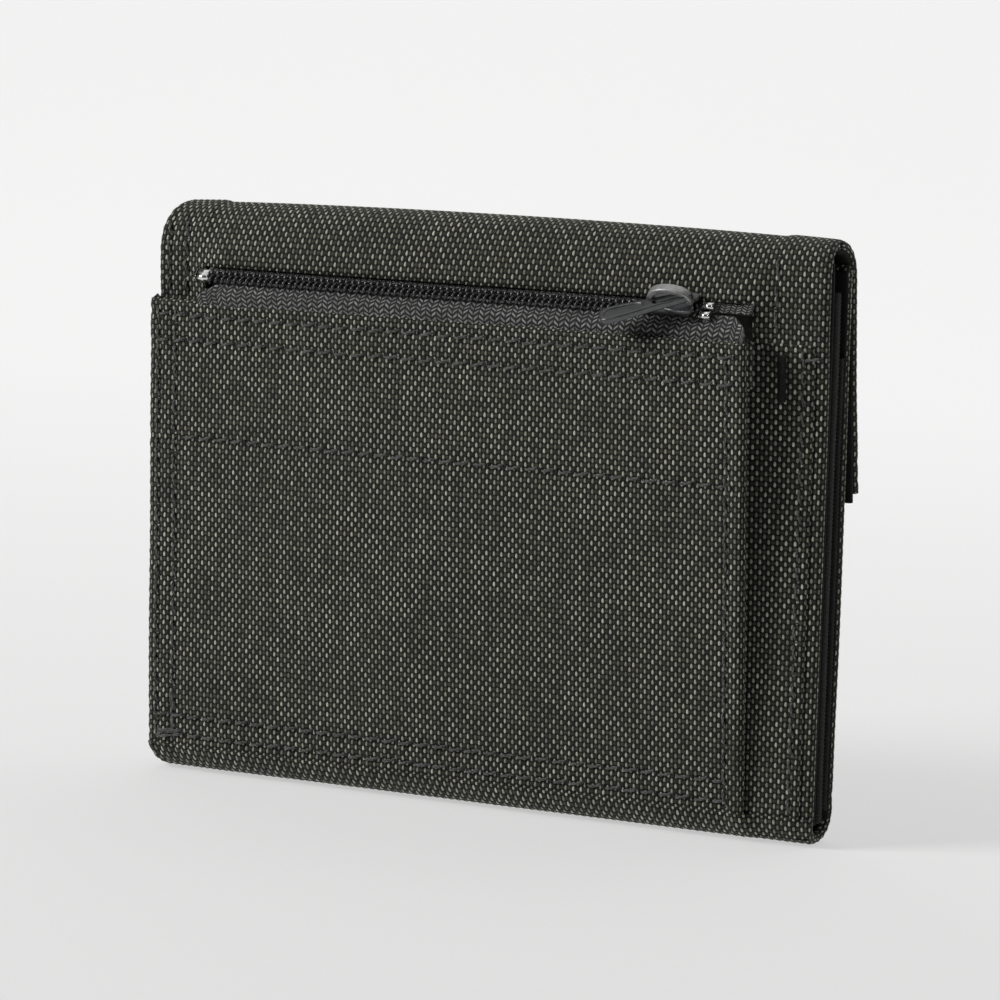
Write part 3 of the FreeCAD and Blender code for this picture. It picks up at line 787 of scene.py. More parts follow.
def build_pocket():
    radius = 1.5
    count = int(round((POCKET_RIGHT - 0.7 + HALF - radius) / WARP))
    flat = np.linspace(-HALF + radius, POCKET_RIGHT - 0.7, count + 1)
    z_line = np.linspace(JOIN_Z, POCKET_TOP - 0.6, int(round((POCKET_TOP - 0.6 - JOIN_Z) / WEFT)) + 1)
    lip = 0.6
    rows = [(z, 0.0) for z in z_line]
    for angle in np.linspace(0, math.pi, 5)[1:]:
        rows.append((POCKET_TOP - lip + lip * math.sin(angle), lip * (1 - math.cos(angle))))
    for back in np.arange(1, 9):
        rows.append((POCKET_TOP - lip - back * WEFT, 2 * lip))
    grid = []
    for z, under in rows:
        place = min(z, POCKET_TOP - lip * 0.2)
        line = []
        deep_left = float(pocket_depth(-HALF + radius, place))
        round_it = min(radius, deep_left * 0.7)
        for share in (0.0, 0.33, 0.66):
            line.append((-HALF + 0.1, deep_left - share * (deep_left - round_it)))
        for angle in np.linspace(math.pi / 2, 0, 5)[:-1]:
            line.append((-HALF + radius - radius * math.sin(angle), round_it * (1 - math.cos(angle))))
        line += [(x, 0.0) for x in flat]
        deep_right = float(pocket_depth(POCKET_RIGHT - 0.7, place))
        half_turn = min(0.7, deep_right * 0.42)
        for angle in np.linspace(0, math.pi, 6)[1:]:
            line.append((POCKET_RIGHT - 0.7 + 0.7 * math.sin(angle), half_turn * (1 - math.cos(angle))))
        for back in (1.0, 2.0, 3.0, 4.0):
            line.append((POCKET_RIGHT - 0.7 - back, 2 * half_turn))
        line = np.array(line)
        surface = pocket_depth(np.clip(line[:, 0], -HALF + radius * 0.4, POCKET_RIGHT), place)
        y = BACK_Y - np.maximum(surface - line[:, 1] - under, 0.02)
        y[:3] = np.minimum(y[:3], BACK_Y - 0.02)
        grid.append(np.stack([line[:, 0], y, np.full(len(line), z)], 1))
    points = np.array(grid)
    made = cloth_object("coin_pocket_cloth", points, MELANGE, thick=0.5, uv0=(0, 1))
    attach(made, "back")
    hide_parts("coin_pocket_front")


def build_gusset():
    """The bellows fold at the pocket's right edge and the flange sewn to the back half."""
    z_line = np.linspace(JOIN_Z, POCKET_TOP - 0.3, int(round((POCKET_TOP - JOIN_Z) / WEFT)) + 1)
    rim = HALF - 2.0
    grid = []
    steps = None
    for z in z_line:
        front_side = float(proud(POCKET_RIGHT, z))
        inner = max(front_side - 1.6, 0.75)
        tip_x = gusset_low[0] + 1.0 + 1.5 * (1 - front_side / 8)
        path = joined(
            [(POCKET_RIGHT - 1.2, inner), (tip_x + 0.6, (inner + 0.6) / 2 + 0.25)],
            [(tip_x, (inner + 0.6) / 2)],
            [(tip_x + 0.8, (inner + 0.6) / 2 - 0.3), (POCKET_RIGHT + 0.6, 0.62)],
            [(POCKET_RIGHT + 3.2, 0.66), (POCKET_RIGHT + 3.7, 0.50), (rim, 0.45)],
        )
        if steps is None:
            steps = len(spaced(path, WARP)[0])
        run = np.concatenate([[0], np.cumsum(np.linalg.norm(np.diff(path, axis=0), axis=1))])
        at = np.linspace(0, run[-1], steps)
        x = np.interp(at, run, path[:, 0])
        off = np.interp(at, run, path[:, 1])
        on_back = back_rise(x, np.full_like(x, z)) * smooth(POCKET_RIGHT, POCKET_RIGHT + 3, x)
        wrinkle = 0.10 * waves(x * 0.25, np.full_like(x, z), 5, 21)
        off = off + on_back + wrinkle * smooth(POCKET_RIGHT, POCKET_RIGHT + 2, x)
        grid.append(np.stack([x, BACK_Y - off, np.full(steps, z)], 1))
    points = np.array(grid)
    made = cloth_object("gusset_cloth", points, MELANGE, thick=0.35, relief=0.05)
    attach(made, "back")
    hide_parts("coin_pocket_gusset")


build_pocket()
build_gusset()


# ---------------------------------------------------------------- linings, slots, bindings


def plain_sheet(name, x_half, z_low, z_high, y_out, side, thick, radius, extra):
    """A flat inner layer: side says which way its seen face looks, and y_out is that face."""
    xs, deep = coarser(*edge_path(x_half, radius, 2.0), 8)
    zs = np.concatenate([np.linspace(z_low, z_high - 5, 24)[:-1], np.linspace(z_high - 5, z_high, 9)])
    x, z = np.meshgrid(xs, zs)
    hem = 0.14 * smooth(z_high - 4.3, z_high - 3.9, z) - 0.10 * bell(z - (z_high - 3.9), 0.35)
    soft = 0.07 * waves(x, z, 40, len(name))
    y = y_out + side * (hem + soft - deep[None, :])
    if extra is not None:
        y = y + extra(z)
    x = drawn_in(x, towards_crest(z))
    # the crest is lower near the sides, and the layers under it too
    z = z - 1.5 * smooth(HALF - 16, HALF - 2, np.abs(x)) * smooth(TOP_Z - 8, TOP_Z - 1, z)
    points = np.stack([x, y, z], 2)
    if side > 0:
        points = points[:, ::-1]
    return cloth_object(name, points, LINING, thick=thick, relief=0.0)


def inner_layer(node, body, side, radius, extra=None, thick=0.3, x_half=None, y_out=None):
    low, high = span(node)
    y_out = (high[1] if side > 0 else low[1]) if y_out is None else y_out
    half = x_half or high[0]
    made = plain_sheet(node + "_cloth", half, low[2], high[2], y_out, side, thick, radius, extra)
    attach(made, body)
    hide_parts(node)
    return made


def ribbed_tape(name, node, body, side, y_low, y_high, extra=None):
    """Grosgrain folded round the edge of a stack of layers; its ribs run across the tape."""
    low, high = span(node)
    edge = HALF - 0.15
    path = joined(
        [(edge - 4.6, y_low), (edge - 0.7, y_low)],
        [(edge - 0.2, y_low + 0.25), (edge, y_low + 0.8)],
        [(edge, y_high - 0.8), (edge - 0.2, y_high - 0.25)],
        [(edge - 0.7, y_high), (edge - 4.6, y_high)],
    )
    path, length = spaced(path, 0.5)
    zs = np.arange(low[2], high[2], 0.158)
    x, z = np.meshgrid(path[:, 0] * side, zs)
    y = np.meshgrid(path[:, 1], zs)[0]
    grid = np.stack([x, y, z], 2)
    if side < 0:
        grid = grid[:, ::-1]
    normal = normals_of(grid)
    rib = 0.07 * np.cos(z * math.tau / 0.632) + 0.05 * waves(y * 2, z, 18, 4)
    grid = grid + normal * rib[..., None]
    if extra is not None:
        grid[:, :, 1] += extra(z)
    made = cloth_object(name, grid, GROSGRAIN, thick=0.3, relief=0.0)
    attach(made, body)
    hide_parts(node)
    return made


def build_inside():
    lining_y = span("back_lining")[1][1] + 0.35
    inner_layer("back_lining", "back", 1, 0.5, x_half=HALF - 0.1, y_out=lining_y)
    inner_layer("bill_divider", "back", 1, 0.18)
    for k in (1, 2, 3):
        inner_layer(f"rear_card_slot_{k}", "back", 1, 0.16, thick=0.22)
    inner_layer("front_lining", "front", -1, 0.3, bow, x_half=HALF - 0.1)
    for k in (1, 2):
        inner_layer(f"front_card_slot_{k}", "front", -1, 0.16, bow, thick=0.22)
    for side, word in ((-1, "left"), (1, "right")):
        ribbed_tape(f"rear_binding_{word}_tape", f"rear_binding_{word}", "back", side, -1.85, 0.75)
        ribbed_tape(f"front_binding_{word}_tape", f"front_binding_{word}", "front", side, 1.0, 2.75, bow)


build_inside()


def build_spine_lining():
    low, high = span("spine_lining")
    x = np.arange(low[0], high[0] + 0.1, 2.0)
    y = np.linspace(high[1] + 0.4, low[1] - 0.4, 14)
    gx, gy = np.meshgrid(x, y)
    z = 0.95 + 0.4 * (gy / 3) ** 2 + 0.05 * waves(gx, gy, 15, 2)
    made = cloth_object("spine_lining_cloth", np.stack([gx, gy, z], 2)[::-1], LINING, thick=0.3, relief=0)
    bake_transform(made)
    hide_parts("spine_lining")


build_spine_lining()


# ---------------------------------------------------------------- flap's inside


def under(line, toward, gap):
    """A section line moved inwards by gap."""
    return line - line_normals(line, np.asarray(toward, float)) * gap


def build_flap_inside():
    line = np.concatenate([flap_line, [flap_line[-1] + HANG * 0.6, flap_line[-1] + HANG * 1.2]])
    line, length = spaced(under(line, (60, 90), 0.75), 0.21)
    xs, deep = coarser(*edge_path(HALF - 0.35, 0.55, 2.0), 10)

    def ribs(x, z, t):
        return -0.05 + 0.05 * np.cos(t * length * math.tau / 0.63)

    points = section_cloth(xs, deep, line, (60, 90), ribs)
    round_corners(points, 1 - np.linspace(0, 5.0, len(line)))
    made = cloth_object("flap_lining_cloth", points, GROSGRAIN, thick=0.3, relief=0)
    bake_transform(made)
    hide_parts("flap_lining")

    line, length = spaced(under(rear_line[rear_line[:, 1] > ROLL_Z - 3], (BACK_Y - 20, 60), 0.85), 0.6)
    points = section_cloth(xs, deep * 0.6, line, (BACK_Y - 20, 60), lambda x, z, t: 0 * x)
    round_corners(points, towards_crest(line[:, 1]))
    made = cloth_object("top_lining_cloth", points, LINING, thick=0.25, relief=0)
    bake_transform(made)
    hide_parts("flap_top_lining")


def fuzzy(name, points, thick):
    draw = np.random.RandomState(len(name))
    rough = draw.uniform(-0.16, 0.16, points.shape[:2])
    rough[0], rough[-1], rough[:, 0], rough[:, -1] = 0, 0, 0, 0
    points = points + normals_of(points) * rough[..., None]
    return cloth_object(name, points, PILE, thick=thick, relief=0)


def build_closure():
    low, high = span("flap_hook_tape")
    line = flap_line[(flap_line[:, 1] > low[2] + 0.6) & (flap_line[:, 1] < high[2])]
    line, length = spaced(under(line, (60, 90), 2.15), 0.5)
    x = np.arange(low[0], high[0], 0.6)
    gx, gy = np.meshgrid(x, line[:, 0])
    gz = np.meshgrid(x, line[:, 1])[1]
    made = fuzzy("hook_tape", np.stack([gx, gy, gz], 2)[:, ::-1], 0.7)
    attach(made, "flap")
    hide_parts("flap_hook_tape")

    low, high = span("front_loop_tape")
    z = np.arange(low[2], high[2], 0.5)
    gx, gz = np.meshgrid(x, z)
    points = np.stack([gx, high[1] - 0.1 + bow(gz), gz], 2)[:, ::-1]
    made = fuzzy("loop_tape", points, 0.9)
    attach(made, "front")
    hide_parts("front_loop_tape")


build_flap_inside()
build_closure()


# ---------------------------------------------------------------- zip


def chain_frame(x):
    """Middle of the chain at x, and the directions up the tape and out of the zip there."""
    x = np.asarray(x, float)
    zero = np.zeros_like(x)
    up = np.stack([zero, zero + math.sin(ZIP_TILT), zero + math.cos(ZIP_TILT)], -1)
    out = np.stack([zero, zero - math.cos(ZIP_TILT), zero + math.sin(ZIP_TILT)], -1)
    return np.stack([x, zero + CHAIN_Y, zero + CHAIN_Z], -1), up, out


def tube(line, radius, sides, reference):
    """A round tube with closed ends along a line of points, as vertices and faces."""
    line = np.asarray(line, float)
    tangent = np.gradient(line, axis=0)
    tangent /= np.maximum(np.linalg.norm(tangent, axis=1, keepdims=True), 1e-9)
    side = np.cross(tangent, np.asarray(reference, float))
    side /= np.maximum(np.linalg.norm(side, axis=1, keepdims=True), 1e-9)
    other = np.cross(side, tangent)
    angle = np.linspace(0, math.tau, sides, endpoint=False)
    ring = np.cos(angle)[None, :, None] * side[:, None] + np.sin(angle)[None, :, None] * other[:, None]
    verts = (line[:, None] + radius * ring).reshape(-1, 3)
    faces = []
    for k in range(len(line) - 1):
        for m in range(sides):
            n = (m + 1) % sides
            faces.append((k * sides + m, k * sides + n, (k + 1) * sides + n, (k + 1) * sides + m))
    faces.append(tuple(range(sides))[::-1])
    faces.append(tuple(range((len(line) - 1) * sides, len(line) * sides)))
    return verts, faces


class Heap:
    """Collects separate closed shapes into one mesh."""

    def __init__(self):
        self.verts, self.faces, self.count = [], [], 0

    def add(self, shape):
        verts, faces = shape
        self.verts.append(np.asarray(verts, float))
        self.faces.extend(tuple(v + self.count for v in face) for face in faces)
        self.count += len(verts)

    def object(self, name, material):
        return mesh_object(name, np.concatenate(self.verts), self.faces, None, material)


PITCH = 1.1


def build_coils():
    for name, side, shift in (("zip_coil_upper", 1, 0.0), ("zip_coil_lower", -1, math.pi)):
        turns = (CHAIN_RIGHT - CHAIN_LEFT) / PITCH
        phase = np.arange(0, turns * math.tau, math.tau / 12)
        x = CHAIN_LEFT + PITCH * (phase + shift * 0.5) / math.tau
        middle, up, out = chain_frame(x)
        across = side * (0.52 + 0.56 * np.cos(phase))
        rise = 0.42 + 0.40 * np.sin(phase)
        line = middle + up * across[:, None] + out * rise[:, None]
        heap = Heap()
        heap.add(tube(line, 0.27, 6, (1.0, 0.02, 0.01)))
        made = heap.object(name + "_loops", COIL)
        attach(made, "back")
        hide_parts(name)


def build_tapes():
    """Knitted tapes: the lower one shows between the chain and the pocket's edge."""
    x_end = POCKET_RIGHT - 0.4
    xs = np.arange(CHAIN_LEFT - 1.6, x_end + 0.01, 0.5)
    rows, fine = 26, 60
    rounding = 4.6
    grid = []
    for x in xs:
        middle, up, out = chain_frame(x)
        face_y = BACK_Y - float(proud(x, POCKET_TOP))
        p0 = middle[1:] - up[1:] * 0.30
        p1 = middle[1:] - up[1:] * 2.7
        p2 = p1 - up[1:] * 1.5
        p3 = np.array([face_y + 0.9, POCKET_TOP + 0.2])
        p4 = np.array([face_y + 1.0, POCKET_TOP - 6.5])
        line = spaced(joined([p0, p1], bezier(p1, p2, p3, p4)), 0.2)[0]
        line = line[np.linspace(0, len(line) - 1, fine).astype(int)]
        past = np.clip((x - (x_end - rounding)) / rounding, 0, 1)
        early = np.clip((CHAIN_LEFT + 3.0 - x) / rounding, 0, 1)
        cut = 0.42 * (1 - math.sqrt(max(0.0, 1 - past**2))) + 0.30 * early
        line = line[int(cut * fine) :]
        at = np.linspace(0, len(line) - 1, rows)
        y, z = (np.interp(at, np.arange(len(line)), line[:, k]) for k in (0, 1))
        y = y - past**2 * (1 - np.linspace(0, 1, rows))
        grid.append(np.stack([np.full(rows, x), y, z], 1))
    points = np.array(grid).transpose(1, 0, 2)[::-1]
    points[:, :, 1] -= 0.10 * waves(points[:, :, 0], points[:, :, 2], 9, 31)
    made = cloth_object("lower_tape", points, KNIT, thick=0.25, relief=0.0, step=0.55)
    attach(made, "back")
    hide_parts("zip_tape_lower", "coin_pocket_facing")

    xs = np.arange(CHAIN_LEFT - 1.0, x_end, 0.5)
    middle, up, out = chain_frame(xs)
    seen = 3.4
    shares = np.linspace(0, 1, 14)
    points = np.array([middle + up * (0.30 + seen * q) - out * (0.02 + 0.15 * q) for q in shares])
    made = cloth_object("upper_tape", points, KNIT, thick=0.3, relief=0.0, step=0.55)
    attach(made, "back")
    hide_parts("zip_tape_upper")


def band(x_low, x_high, across, height, thick, low=-0.25):
    """A small metal clip bent over the coils: a U across the chain, given at x."""
    mid_x = (x_low + x_high) / 2
    middle, up, out = chain_frame(mid_x)
    left, right = across
    turn = min(0.45, (right - left) / 2.2)
    path = [(left, low), (left, height - turn)]
    for angle in np.linspace(math.pi, math.pi / 2, 5):
        path.append((left + turn + turn * math.cos(angle), height - turn + turn * math.sin(angle)))
    for angle in np.linspace(math.pi / 2, 0, 5):
        path.append((right - turn + turn * math.cos(angle), height - turn + turn * math.sin(angle)))
    path += [(right, height - turn), (right, low)]
    path, _ = spaced(np.array(path), 0.22)
    xs = np.array([x_low + 0.08, x_low, x_low, x_high, x_high, x_high - 0.08])
    pull_in = np.array([0.08, 0.03, 0.0, 0.0, 0.03, 0.08])
    centre = np.array([(left + right) / 2, height / 2])
    grid = []
    for u, n in path:
        toward = centre - (u, n)
        toward /= np.linalg.norm(toward)
        row = []
        for x, inset in zip(xs, pull_in):
            p = np.array([u, n]) + toward * inset
            row.append(middle + up * p[0] + out * p[1] + np.array([x - mid_x, 0, 0]))
        grid.append(row)
    points = np.array(grid)
    normal = normals_of(points)
    rows, cols = points.shape[:2]
    probe = (points[rows // 2, cols // 2] - middle) @ normal[rows // 2, cols // 2]
    if probe < 0:
        points = points[:, ::-1]
        normal = normals_of(points)
    inner = points - normal * thick
    verts = np.concatenate([points.reshape(-1, 3), inner.reshape(-1, 3)])
    return verts, shell_faces(whole(points)).tolist()


def build_stops():
    heap = Heap()
    heap.add(band(CHAIN_LEFT - 2.4, CHAIN_LEFT + 0.1, (-0.95, 1.0), 1.0, 0.28))
    made = heap.object("bottom_stop_clip", BRIGHT)
    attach(made, "back")
    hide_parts("zip_bottom_stop")
    heap = Heap()
    heap.add(band(CHAIN_RIGHT + 0.2, CHAIN_RIGHT + 2.0, (0.25, 1.5), 0.95, 0.26))
    heap.add(band(CHAIN_RIGHT + 0.1, CHAIN_RIGHT + 1.9, (-1.5, -0.25), 0.95, 0.26))
    made = heap.object("top_stop_clips", BRIGHT)
    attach(made, "back")
    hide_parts("zip_top_stops")


build_coils()
build_tapes()
build_stops()


# ---------------------------------------------------------------- slider and pull


def flat_shape(outlines, thick, bevel):
    """Vertices and faces of a plate with rounded edges, in its own plane, Z across it."""
    data = bpy.data.curves.new("outline", "CURVE")
    data.dimensions = "2D"
    data.fill_mode = "BOTH"
    data.extrude = thick / 2 - bevel
    data.bevel_depth = bevel
    data.bevel_resolution = 2
    data.offset = -bevel
    for outline in outlines:
        spline = data.splines.new("POLY")
        spline.points.add(len(outline) - 1)
        for point, (a, b) in zip(spline.points, outline):
            point.co = (a, b, 0, 1)
        spline.use_cyclic_u = True
    holder = bpy.data.objects.new("outline", data)
    mesh = bpy.data.meshes.new_from_object(holder)
    verts = np.array([v.co for v in mesh.vertices], float).reshape(-1, 3)
    faces = [tuple(p.vertices) for p in mesh.polygons]
    bpy.data.objects.remove(holder)
    bpy.data.meshes.remove(mesh)
    return verts, faces


def rounded(points, turns=2):
    """Corner cutting, for a soft outline."""
    points = np.asarray(points, float)
    for _ in range(turns):
        following = np.roll(points, -1, axis=0)
        both = [0.75 * points + 0.25 * following, 0.25 * points + 0.75 * following]
        points = np.stack(both, 1).reshape(-1, 2)
    return points


def mirrored(half):
    """A closed outline from its upper half, given from one end to the other."""
    return half + [(a, -b) for a, b in half[::-1]]


SLIDER_X = (slider_low[0] + slider_high[0]) / 2
SLIDER_AT = np.array([SLIDER_X, CHAIN_Y, CHAIN_Z])
# the slider's outer faces, measured out of the zip from the chain's middle
FACE = 2.0
BASE = -1.55


def placed(shape, basis, origin):
    verts, faces = shape
    return verts @ np.array(basis) + np.array(origin), faces


def build_slider():
    along = np.array([1.0, 0, 0])
    half_long, half_wide = (slider_high[0] - slider_low[0]) / 2, 2.2
    shield = rounded([
        (-half_long, -1.35), (-half_long, 1.35), (-1.2, 1.7), (1.6, half_wide), (half_long - 0.3, half_wide),
        (half_long, 1.0), (half_long - 1.3, 0), (half_long, -1.0), (half_long - 0.3, -half_wide),
        (1.6, -half_wide), (-1.2, -1.7),
    ])
    heap = Heap()
    for level in (FACE - 0.35, BASE + 0.35):
        origin = SLIDER_AT + SLIDER_OUT * level
        heap.add(placed(flat_shape([shield], 0.7, 0.16), (along, SLIDER_UP, SLIDER_OUT), origin))
    post = rounded([(0.6, -0.18), (half_long - 1.0, -0.5), (half_long - 1.0, 0.5), (0.6, 0.18)], 1)
    origin = SLIDER_AT + SLIDER_OUT * (FACE + BASE) / 2
    heap.add(placed(flat_shape([post], FACE - BASE - 0.5, 0.05), (along, SLIDER_UP, SLIDER_OUT), origin))
    for side in (-1, 1):
        near, far = 0.5 - half_long, half_long - 1.2
        lip = rounded([(near, -0.17), (far, -0.17), (far, 0.17), (near, 0.17)], 1)
        origin = SLIDER_AT + SLIDER_UP * side * (half_wide - 0.55) + SLIDER_OUT * (FACE - 0.75)
        heap.add(placed(flat_shape([lip], 0.9, 0.08), (along, SLIDER_UP, SLIDER_OUT), origin))
    made = heap.object("slider_body", GUNMETAL)
    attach(made, "slider")
    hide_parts("zip_slider_body")

    reach, rise, bar = 3.7, 3.0, 0.85
    turn = np.linspace(0, math.pi, 29)
    arch = []
    for inset, angles in ((0, turn), (bar, turn[::-1])):
        for a in angles:
            height = (rise - inset) * math.sin(a) ** 0.75
            arch.append(((reach - inset) * math.cos(a), height + FACE - 0.15))
    heap = Heap()
    heap.add(placed(flat_shape([arch], 1.45, 0.17), (along, SLIDER_OUT, SLIDER_UP), SLIDER_AT))
    made = heap.object("slider_crown", CROWN)
    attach(made, "slider")
    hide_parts("zip_slider_crown")


def build_pull():
    """A flat tab with an eye and a thinner panel; it hangs loosely, so it droops and rolls a little."""
    pin = np.array(PULL["pos_m"]) / MM
    droop = math.radians(-26.0)
    along = np.array([-math.cos(droop), 0, 0]) + SLIDER_UP * math.sin(droop)
    roll = math.radians(-18.0)
    across = np.cross(SLIDER_OUT, along)
    out = SLIDER_OUT * math.cos(roll) + across * math.sin(roll)
    across = np.cross(out, along)
    body = [(-1.6, 0.55), (-1.2, 0.95), (0.2, 1.40), (4.4, 1.55), (6.9, 1.95), (9.5, 2.3)]
    body += [(11.5, 2.35), (12.5, 1.9), (12.8, 0.9)]
    eye = [(-0.75, 0.6), (0.2, 0.98), (3.9, 0.98), (4.4, 0.5)]
    panel = [(6.1, 0.9), (8.2, 1.35), (11.1, 1.55), (11.9, 0.8)]
    web = [(5.7, 1.1), (8.1, 1.6), (11.3, 1.8), (12.2, 1.0)]
    body, eye, panel, web = (rounded(mirrored(half)) for half in (body, eye, panel, web))
    heap = Heap()
    heap.add(placed(flat_shape([body, eye[::-1], panel[::-1]], 1.0, 0.24), (along, across, out), pin))
    heap.add(placed(flat_shape([web], 0.62, 0.05), (along, across, out), pin))
    made = heap.object("pull_tab", GUNMETAL)
    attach(made, "pull")
    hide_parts("zip_pull_tab")


build_slider()
build_pull()


# ---------------------------------------------------------------- stitching


def on_pocket(x, z):
    return np.array([x, BACK_Y - float(pocket_depth(x, z)), z])


rear_out = line_normals(rear_line, np.array([BACK_Y - 20.0, 60.0]))


def off_line(line, normals, at, key, lift, x):
    """The point at x that stands lift off a section line, where key along the line equals at."""
    y0, z0 = (float(np.interp(at, key, line[:, k])) for k in (0, 1))
    ny, nz = (float(np.interp(at, key, normals[:, k])) for k in (0, 1))
    return np.array([x, y0 + ny * lift, z0 + nz * lift])


def on_back(x, z):
    return off_line(rear_line, rear_out, z, rear_line[:, 1], float(back_rise(x, z)), x)


def on_flange(x, z):
    point = on_back(x, z)
    return point - np.array([0, 0.45, 0])


flap_out = line_normals(flap_line, np.array([60.0, 90.0]))


def on_flap(x, run):
    share = run / flap_length
    index = np.linspace(0, 1, len(flap_line))
    z0 = float(np.interp(share, index, flap_line[:, 1]))
    return off_line(flap_line, flap_out, share, index, float(flap_rise(x, z0, share)), x)


def on_front(x, z):
    return np.array([x, FRONT_Y + float(bow(z)) + 0.05, z])


def sew(heap, hole_shading, surface, start, end, draw):
    """One row of lock stitches of two-ply thread from start to end on a surface, with a near-black
    mark of painted shade at each needle hole between them."""
    start, end = np.array(start, float), np.array(end, float)
    run = float(np.linalg.norm(end - start))
    count = max(1, int(run / (STITCH + STITCH_GAP)))
    way = (end - start) / run
    cross = np.array([-way[1], way[0]])
    pitch = run / count
    for k in range(count):
        slant = 0.26 + draw.uniform(-0.07, 0.09)
        wander = draw.uniform(-0.07, 0.07)
        centre = []
        for q in np.linspace(0, 1, 8):
            place = start + way * (k * pitch + STITCH_GAP / 2 + q * (pitch - STITCH_GAP))
            place = place + cross * (wander + slant * (q - 0.5) * 2)
            centre.append(surface(*place))
        centre = np.array(centre)
        first = surface(*(start + way * (k + 0.5) * pitch))
        aside = surface(*(start + way * (k + 0.5) * pitch + cross * 0.4)) - first
        ahead = centre[-1] - centre[0]
        out = np.cross(ahead, aside)
        out /= np.linalg.norm(out)
        aside = aside / np.linalg.norm(aside)
        if out @ surface_side[surface] < 0:
            out = -out
        q = np.linspace(0, 1, 8)
        height = -0.22 + 0.52 * np.sin(math.pi * q) ** 0.6
        turn = q * math.tau * 1.25 + draw.uniform(0, 6)
        for ply in (0, math.pi):
            offset = out * (height + 0.11 * np.sin(turn + ply))[:, None]
            offset = offset + aside * (0.14 * np.cos(turn + ply))[:, None]
            heap.add(tube(centre + offset, 0.155, 5, tuple(out)))
        # a near-black dash across the row at the needle hole, sunk a little: painted shade of the hole
        hole = surface(*(start + way * (k + 1) * pitch))
        ends = [hole - aside * 0.42, hole, hole + aside * 0.42]
        hole_shading.add(tube(np.array(ends) - out * 0.02, 0.2, 5, tuple(out)))


BACKWARD = np.array([0.0, -1.0, 0.25])
surface_side = {
    on_pocket: BACKWARD,
    on_back: BACKWARD,
    on_flange: BACKWARD,
    on_flap: -BACKWARD,
    on_front: -BACKWARD,
}


def sewn(part, rows, draw):
    """The stitches and the painted shade at the needle holes of one part: rows are a surface, a start and an
    end each.
    """
    heap, hole_shading = Heap(), Heap()
    for surface, start, end in rows:
        sew(heap, hole_shading, surface, start, end, draw)
    made = [heap.object("stitching_" + part, THREAD), hole_shading.object("needle_hole_shade_" + part, DARK_THREAD_AND_HOLE_SHADE)]
    return made


def back_rows():
    """Every row of the coin pocket and its flange, with the loose cluster at the lower left."""
    left, right = -HALF, POCKET_RIGHT
    rows = [((left + 1.2, POCKET_TOP - drop), (right - 1.9, POCKET_TOP - drop)) for drop in TOP_ROWS]
    rows.append(((left + 6.5, POCKET_TOP - MIDDLE_ROW), (right - 2.2, POCKET_TOP - MIDDLE_ROW)))
    rows += [((left + 1.4, rise), (right - 2.4, rise)) for rise in BASE_ROWS]
    rows += [((left + gap, POCKET_TOP - 1.0), (left + gap, JOIN_Z + 0.6)) for gap in SIDE_ROWS]
    rows.append(((right - POCKET_ROW, POCKET_TOP - TOP_ROWS[0]), (right - POCKET_ROW, JOIN_Z + 0.8)))
    low, high = BASE_ROWS
    for shift in (0.35, -0.4, 0.7):
        rows.append(((left + 1.3, low + shift), (left + 7.0, low + shift * 0.6)))
        rows.append(((left + 5.1 + shift * 0.5, high + 4.0), (left + 5.2, low + shift)))
    rows = [(on_pocket, *row) for row in rows]
    row = HALF - RIGHT_ROW
    rows.append((on_flange, (row, POCKET_TOP - 1.0), (row, JOIN_Z + 0.4)))
    rows.append((on_flange, (row - 0.3, POCKET_TOP - 2.2), (row + 3.0, POCKET_TOP - 2.4)))
    return rows


def build_stitching():
    draw = np.random.RandomState(5)
    for made in sewn("back", back_rows(), draw):
        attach(made, "back")

    top = TOP_Z - 3.0
    rows = [(on_back, (gap - HALF, POCKET_TOP + 0.6), (gap - HALF, top)) for gap in SIDE_ROWS]
    rows.append((on_back, (HALF - YOKE_ROW, POCKET_TOP + 1.0), (HALF - YOKE_ROW, top)))
    for made in sewn("yoke", rows, draw):
        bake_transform(made)

    edge = HALF - FLAP_ROW
    ends = [flap_length - rest for rest in END_ROWS]
    rows = [(on_flap, (-edge, end), (edge, end)) for end in ends]
    rows += [(on_flap, (side * edge, 5.0), (side * edge, ends[0])) for side in (-1, 1)]
    for made in sewn("flap", rows, draw):
        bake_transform(made)

    rows = [(on_front, (-edge, FRONT_ROW), (edge, FRONT_ROW))]
    rows += [(on_front, (side * edge, FRONT_ROW), (side * edge, front_high[2] - 2)) for side in (-1, 1)]
    for made in sewn("front", rows, draw):
        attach(made, "front")


def build_bar_tack():
    """Dense cross stitches in a short upright bar."""
    low, high = span("bar_tack")
    middle = (low[0] + high[0]) / 2 - 0.8
    heap = Heap()
    draw = np.random.RandomState(9)
    z = low[2]
    while z < high[2]:
        line = []
        for q in np.linspace(0, 1, 7):
            x = middle + (q - 0.5) * (1.3 + draw.uniform(-0.1, 0.1))
            point = on_flange(x, z + 0.12 * q)
            line.append(point - np.array([0, 0.10 + 0.28 * math.sin(math.pi * q) ** 0.6, 0]))
        heap.add(tube(line, 0.13, 5, (0.0, -1.0, 0.0)))
        z += 0.215
    made = heap.object("bar_tack_threads", DARK_THREAD_AND_HOLE_SHADE)
    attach(made, "back")
    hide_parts("bar_tack")


build_stitching()
build_bar_tack()


# ---------------------------------------------------------------- camera, light, floor


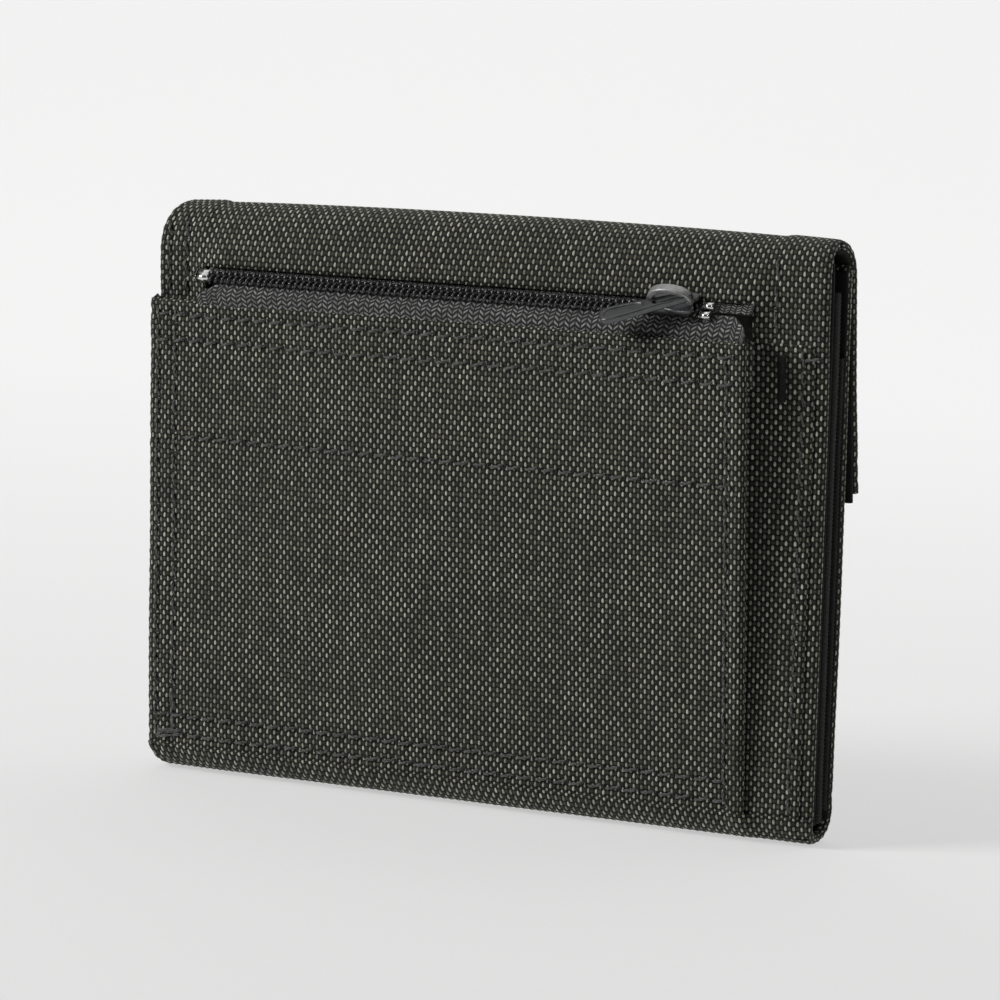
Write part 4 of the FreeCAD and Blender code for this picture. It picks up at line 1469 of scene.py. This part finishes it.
def build_stage():
    azimuth, elevation, roll = (math.radians(v) for v in (26.1, 7.77, 1.58))
    target = Vector((3.89, BACK_Y, 48.8)) * MM
    distance = 0.6615
    away = Vector((
        math.sin(azimuth) * math.cos(elevation),
        -math.cos(azimuth) * math.cos(elevation),
        math.sin(elevation),
    ))
    camera = bpy.data.objects.new("camera", bpy.data.cameras.new("camera"))
    bpy.context.scene.collection.objects.link(camera)
    camera.location = target + away * distance
    turn = (-away).to_track_quat("-Z", "Y").to_matrix()
    turn = turn @ Matrix.Rotation(roll, 3, "Z")
    camera.matrix_world = Matrix.Translation(camera.location) @ turn.to_4x4()
    camera.data.sensor_width = 36
    camera.data.lens = 154.0
    camera.data.clip_start = 0.01
    bpy.context.scene.camera = camera

    # a floor that bends up into a backdrop: its section from front to back, in metres
    bend_y, bend = 0.55, 0.5
    profile = [(-1.2, 0.0), (bend_y, 0.0)]
    for angle in np.linspace(0, math.pi / 2, 14)[1:]:
        profile.append((bend_y + bend * math.sin(angle), bend - bend * math.cos(angle)))
    profile.append((bend_y + bend, 2.2))
    side = 2.5 / MM
    verts, faces = [], []
    for y, z in profile:
        verts += [(-side, y / MM, z / MM), (side, y / MM, z / MM)]
    for k in range(len(profile) - 1):
        faces.append((2 * k, 2 * k + 1, 2 * k + 3, 2 * k + 2))
    s = Shader("glowing_paper", 0.95, specular=0.1)
    mottle = s.patchy(900.0, 0.985, 1.01, 3.0)
    s.colour(s.scaled((0.30, 0.30, 0.297, 1), mottle))
    # painted light: the paper glows as well, brighter towards the back and up the backdrop than at the front
    s.out.inputs["Emission Color"].default_value = (1.0, 1.0, 1.0, 1)
    place = s.node("ShaderNodeSeparateXYZ")
    s.tree.links.new(s.solid(), place.inputs[0])
    s.plug(s.ramp(place.outputs[1], -0.22, 0.7, 0.485, 0.665), s.out.inputs["Emission Strength"])
    floor = mesh_object("studio_floor", verts, faces, None, s.material)

    def area(name, place, aim, side, watts):
        lamp = bpy.data.lights.new(name, "AREA")
        lamp.shape = "RECTANGLE"
        lamp.size = side
        lamp.size_y = side
        lamp.energy = watts
        made = bpy.data.objects.new(name, lamp)
        bpy.context.scene.collection.objects.link(made)
        made.location = place
        made.rotation_euler = (Vector(aim) - Vector(place)).to_track_quat("-Z", "Y").to_euler()

    area("key", (-0.95, -0.75, 0.85), (0, 0, 0.05), 0.55, 16.5)
    area("top", (0.0, 0.1, 1.3), (0, 0, 0), 1.4, 5)
    area("fill", (0.9, -0.9, 0.45), (0, 0, 0.05), 0.7, 0.1)
    world = bpy.data.worlds.new("studio")
    bpy.context.scene.world = world
    world.use_nodes = True
    sky = world.node_tree.nodes["Background"].inputs
    sky["Color"].default_value = (0.96, 0.97, 1.0, 1)
    sky["Strength"].default_value = 0.04
    bpy.context.scene.view_settings.view_transform = "Standard"


build_stage()

# the two boards keep their CAD shape and only get a material
for name in ("back_stiffener", "front_stiffener"):
    shown = frame["nodes"][name]
    shown.data.materials.clear()
    shown.data.materials.append(BOARD)
